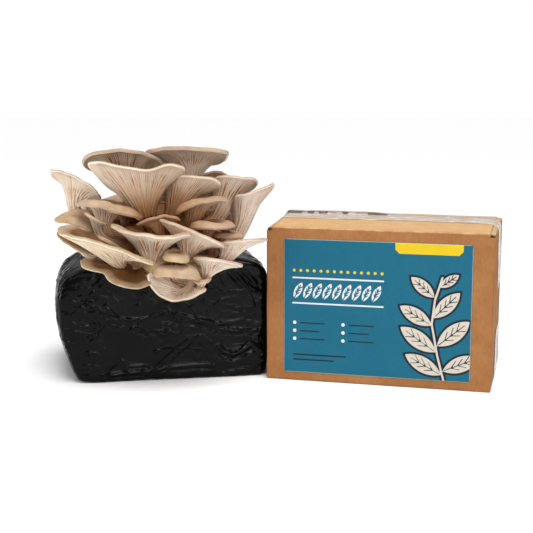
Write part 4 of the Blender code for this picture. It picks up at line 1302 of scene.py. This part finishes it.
def label_print(flat):
    """The print as distances outside each shape, in mm from the label's lower left corner."""
    far = np.full(len(flat), PRINT_FAR)
    sprig = far
    vein = far
    for start, end in zip(SPRIG_STEM, SPRIG_STEM[1:]):
        sprig = np.minimum(sprig, line_distance(flat, start, end) - 2.0)
    for foot, turn, length, width in SPRIG_LEAVES:
        outside, rib = leaf_distance(flat, foot, turn, length, width)
        vein = np.where((outside < 0.0) & (sprig >= 0.0), rib, vein)
        sprig = np.minimum(sprig, outside)

    # Down the left part: a row of spots, a row of small leaves between bars, and short rules
    white = [far]
    yellow = [far]
    dark = [far]
    for step in range(ROW_LEAVES):
        outside, rib = leaf_distance(flat, (10.0 + 9.6 * step, 73.5), 64, 18, 7.0)
        white.append(np.maximum(outside, 0.5 - rib))
    for low in (68.5, 93.5):
        white.append(block_distance(flat, (8.0, low), (98.0, low + 1.5), 0.7))
    for step in range(ROW_SPOTS):
        yellow.append(np.linalg.norm(flat - (10.0 + 6.6 * step, 101.5), axis=1) - 1.5)
    for row in range(3):
        low = 48.0 - 8.0 * row
        for left in (9.0, 57.0):
            right = left + 32.0 - 5.0 * (row % 2)
            white.append(block_distance(flat, (left, low), (left + 3.4, low + 3.4), 1.6))
            dark.append(block_distance(flat, (left + 7.0, low + 1.0), (right, low + 2.2), 0.6))
    for low, right in ((17.0, 62.0), (12.0, 50.0)):
        dark.append(block_distance(flat, (9.0, low), (right, low + 1.4), 0.7))

    # A tab hanging from the top edge
    tab = block_distance(flat, (108.0, 121.5), (172.0, 140.0))
    slanted = (np.abs(flat[:, 0] - 140.0) - flat[:, 1] + 93.5) * 0.7
    yellow.append(np.maximum(tab, slanted))
    border = np.minimum(flat, (LABEL_WIDTH, LABEL_HEIGHT) - flat).min(1)
    return {"sprig": sprig, "vein": vein, "white_print": np.minimum.reduce(white),
            "yellow_print": np.minimum.reduce(yellow), "dark_print": np.minimum.reduce(dark),
            "border": border}


def build_label():
    """The printed label, lying on the bowed front panel."""
    across = np.linspace(0.0, LABEL_WIDTH, round(LABEL_WIDTH / LABEL_CELL) + 1)
    up = np.linspace(0.0, LABEL_HEIGHT, round(LABEL_HEIGHT / LABEL_CELL) + 1)
    thick = np.array([-GAP - LABEL_THICK, -0.05])
    points, faces = shell_grid([across, thick, up])
    flat = points[:, [0, 2]]
    size = np.array([LABEL_WIDTH, LABEL_HEIGHT])
    away = flat - np.clip(flat, LABEL_ROUND, size - LABEL_ROUND)
    largest = np.abs(away).max(1)
    length = np.maximum(np.linalg.norm(away, axis=1), 1e-9)
    flat = flat - away + away * np.where(largest > 0.0, largest / length, 1.0)[:, None]
    verts = np.stack([flat[:, 0] + LABEL_LEFT, points[:, 1], flat[:, 1] + LABEL_BOTTOM], 1)
    front = verts.copy()
    front[:, 1] = 0.0
    verts[:, 1] += panel_warp(front)[:, 1]
    add_piece("paper_label", verts, faces, CARTON_PLACE, label_material(), "label",
              label_print(flat))


def pairs(first, second):
    """Rows of two values, from arrays or from an array and a number."""
    return np.stack(np.broadcast_arrays(first, second), 1)


def ribbon(path, normals, front, rng, mat, name, node):
    """A strip of clear tape along a path in the carton's x and z, wrinkled and wavy edged."""
    steps = np.linalg.norm(np.diff(path, axis=0), axis=1)
    along = np.concatenate([[0.0], np.cumsum(steps)])
    wide = round(TAPE_WIDTH / TAPE_CELL)
    share = np.linspace(0.0, 1.0, wide + 1)
    shift = rng.uniform(0.0, 40.0)
    still = np.zeros_like(along)
    edges = [edge + 0.7 * noise_at(np.stack([along, still, still], 1), 9.0, shift + edge)
             for edge in (front, front + TAPE_WIDTH)]
    y = edges[0][:, None] + (edges[1] - edges[0])[:, None] * share
    flat = np.stack([along[:, None] + 0 * share, y, 0 * y], -1).reshape(-1, 3)
    wrinkle = 1.0 - 2.2 * np.abs(noise_at(flat, TAPE_WRINKLE_SIZE, shift))
    wrinkle = TAPE_WRINKLE * np.maximum(wrinkle, 0.0).reshape(y.shape)
    wrinkle = wrinkle * smooth(np.abs(y - CARTON_DEPTH / 2) / 8.0) + 0.35
    base = np.stack([path[:, None, 0] + 0 * y, y, path[:, None, 1] + 0 * y], -1)
    base = base + panel_warp(base.reshape(-1, 3)).reshape(base.shape)
    out = np.stack([normals[:, 0], still, normals[:, 1]], -1)[:, None, :]
    upper = base + out * wrinkle[..., None]
    lower = base + out * (wrinkle[..., None] - TAPE_THICK / 2)
    loops = np.concatenate([upper, lower[:, ::-1]], 1)
    rows, columns = loops.shape[:2]
    verts = loops.reshape(-1, 3)
    index, quads = ring_quads(rows, columns)
    quads = facing_out(verts, quads)
    turned = quads[0, 0] != 0
    faces = quads.tolist()
    half = columns // 2
    for row, flip in ((0, not turned), (rows - 1, turned)):
        for step in range(half - 1):
            face = [index[row, step], index[row, step + 1], index[row, columns - 2 - step],
                    index[row, columns - 1 - step]]
            faces.append(face[::-1] if flip else face)
    seam = CARTON_DEPTH / 2 + 1.2
    on_top = verts[:, 2] > CARTON_HEIGHT - 1.0
    clear = np.exp(-((verts[:, 1] - seam) / 2.2) ** 4) * smooth((118.0 - verts[:, 0]) / 12.0)
    add_piece(name, verts, faces, CARTON_PLACE, mat, node,
              {"clear": clear * on_top})


def build_tape():
    """The clear strip over the seam and down the ends, and the two lower ends."""
    mat = tape_material()
    rng = np.random.default_rng(21)
    front = (CARTON_DEPTH - TAPE_WIDTH) / 2
    top = CARTON_HEIGHT
    right = CARTON_LENGTH
    bend = TAPE_BEND
    turn = np.linspace(0.0, math.pi / 2, 6)
    across = bend * np.cos(turn)
    up = bend * np.sin(turn)
    rise = np.arange(top - TAPE_LEFT_DROP, top - bend, TAPE_CELL)
    over = np.arange(bend, right - bend, TAPE_CELL)[1:]
    fall = np.arange(top - bend, top - TAPE_RIGHT_DROP, -TAPE_CELL)[1:]
    path = np.concatenate([pairs(0.0, rise), pairs(bend - across, top - bend + up),
                           pairs(over, top), pairs(right - bend + up, top - bend + across),
                           pairs(right, fall)])
    normals = np.concatenate([pairs(-1.0, 0 * rise), pairs(-np.cos(turn), np.sin(turn)),
                              pairs(0 * over, 1.0), pairs(np.sin(turn), np.cos(turn)),
                              pairs(1.0, 0 * fall)])
    ribbon(path, normals, front, rng, mat, "clear_strip", "tape")
    low = np.arange(TAPE_TAB_LIFT, TAPE_TAB_LIFT + TAPE_TAB, TAPE_CELL)
    for x, way, name, node in ((0.0, -1.0, "strip_end_left", "tape_tab_left"),
                               (right, 1.0, "strip_end_right", "tape_tab_right")):
        ribbon(pairs(x, low), pairs(way, 0 * low), front, rng, mat, name, node)


def build_camera():
    """A camera at the photograph's angle."""
    data = bpy.data.cameras.new("camera")
    data.lens = CAMERA_LENS
    data.sensor_width = 36.0
    data.clip_end = 20.0
    camera = new_object("camera", data)
    camera.location = CAMERA_PLACE
    camera.rotation_euler = (math.radians(CAMERA_TILT), 0.0, 0.0)
    bpy.context.scene.camera = camera


def area_light(name, place, aim, wide, high, energy):
    """A soft light turned to a point."""
    data = bpy.data.lights.new(name, "AREA")
    data.shape = "RECTANGLE"
    data.size = wide
    data.size_y = high
    data.energy = energy
    light = new_object(name, data)
    light.location = place
    light.rotation_euler = (Vector(aim) - Vector(place)).to_track_quat("-Z", "Y").to_euler()


def build_stage():
    """The pale floor, the pale surroundings and the studio lights."""
    bpy.context.scene.view_settings.view_transform = "Standard"
    world = bpy.data.worlds.new("world")
    world.use_nodes = True
    tree = world.node_tree
    seen = tree.nodes["Background"]
    lit = tree.nodes.new("ShaderNodeBackground")
    for backdrop in (seen, lit):
        backdrop.inputs["Color"].default_value = (*WHITE, 1.0)
    lit.inputs["Strength"].default_value = SKY_LIGHT
    path = tree.nodes.new("ShaderNodeLightPath")
    either = tree.nodes.new("ShaderNodeMixShader")
    tree.links.new(path.outputs["Is Camera Ray"], either.inputs[0])
    tree.links.new(lit.outputs[0], either.inputs[1])
    tree.links.new(seen.outputs[0], either.inputs[2])
    tree.links.new(either.outputs[0], tree.nodes["World Output"].inputs["Surface"])
    bpy.context.scene.world = world
    mesh = bpy.data.meshes.new("floor")
    reach = FLOOR_REACH
    mesh.from_pydata([(-reach, -reach, 0), (reach, -reach, 0), (reach, reach, 0),
                      (-reach, reach, 0)], [], [(0, 1, 2, 3)])
    mesh.materials.append(Shading("floor").finish(Base_Color=WHITE, Roughness=0.9))
    floor = new_object("floor", mesh)
    sun = bpy.data.lights.new("overhead", "SUN")
    sun.energy = SUN_POWER
    sun.angle = math.radians(SUN_WIDTH)
    overhead = new_object("overhead", sun)
    overhead.rotation_euler = (math.radians(SUN_TILT[0]), math.radians(SUN_TILT[1]), 0.0)
    for name, settings in AREA_LIGHTS.items():
        area_light(name, *settings)


def main():
    """Everything in the scene."""
    build_camera()
    build_stage()
    build_cluster()
    build_base()
    build_bag()
    build_carton()
    build_label()
    build_tape()


main()
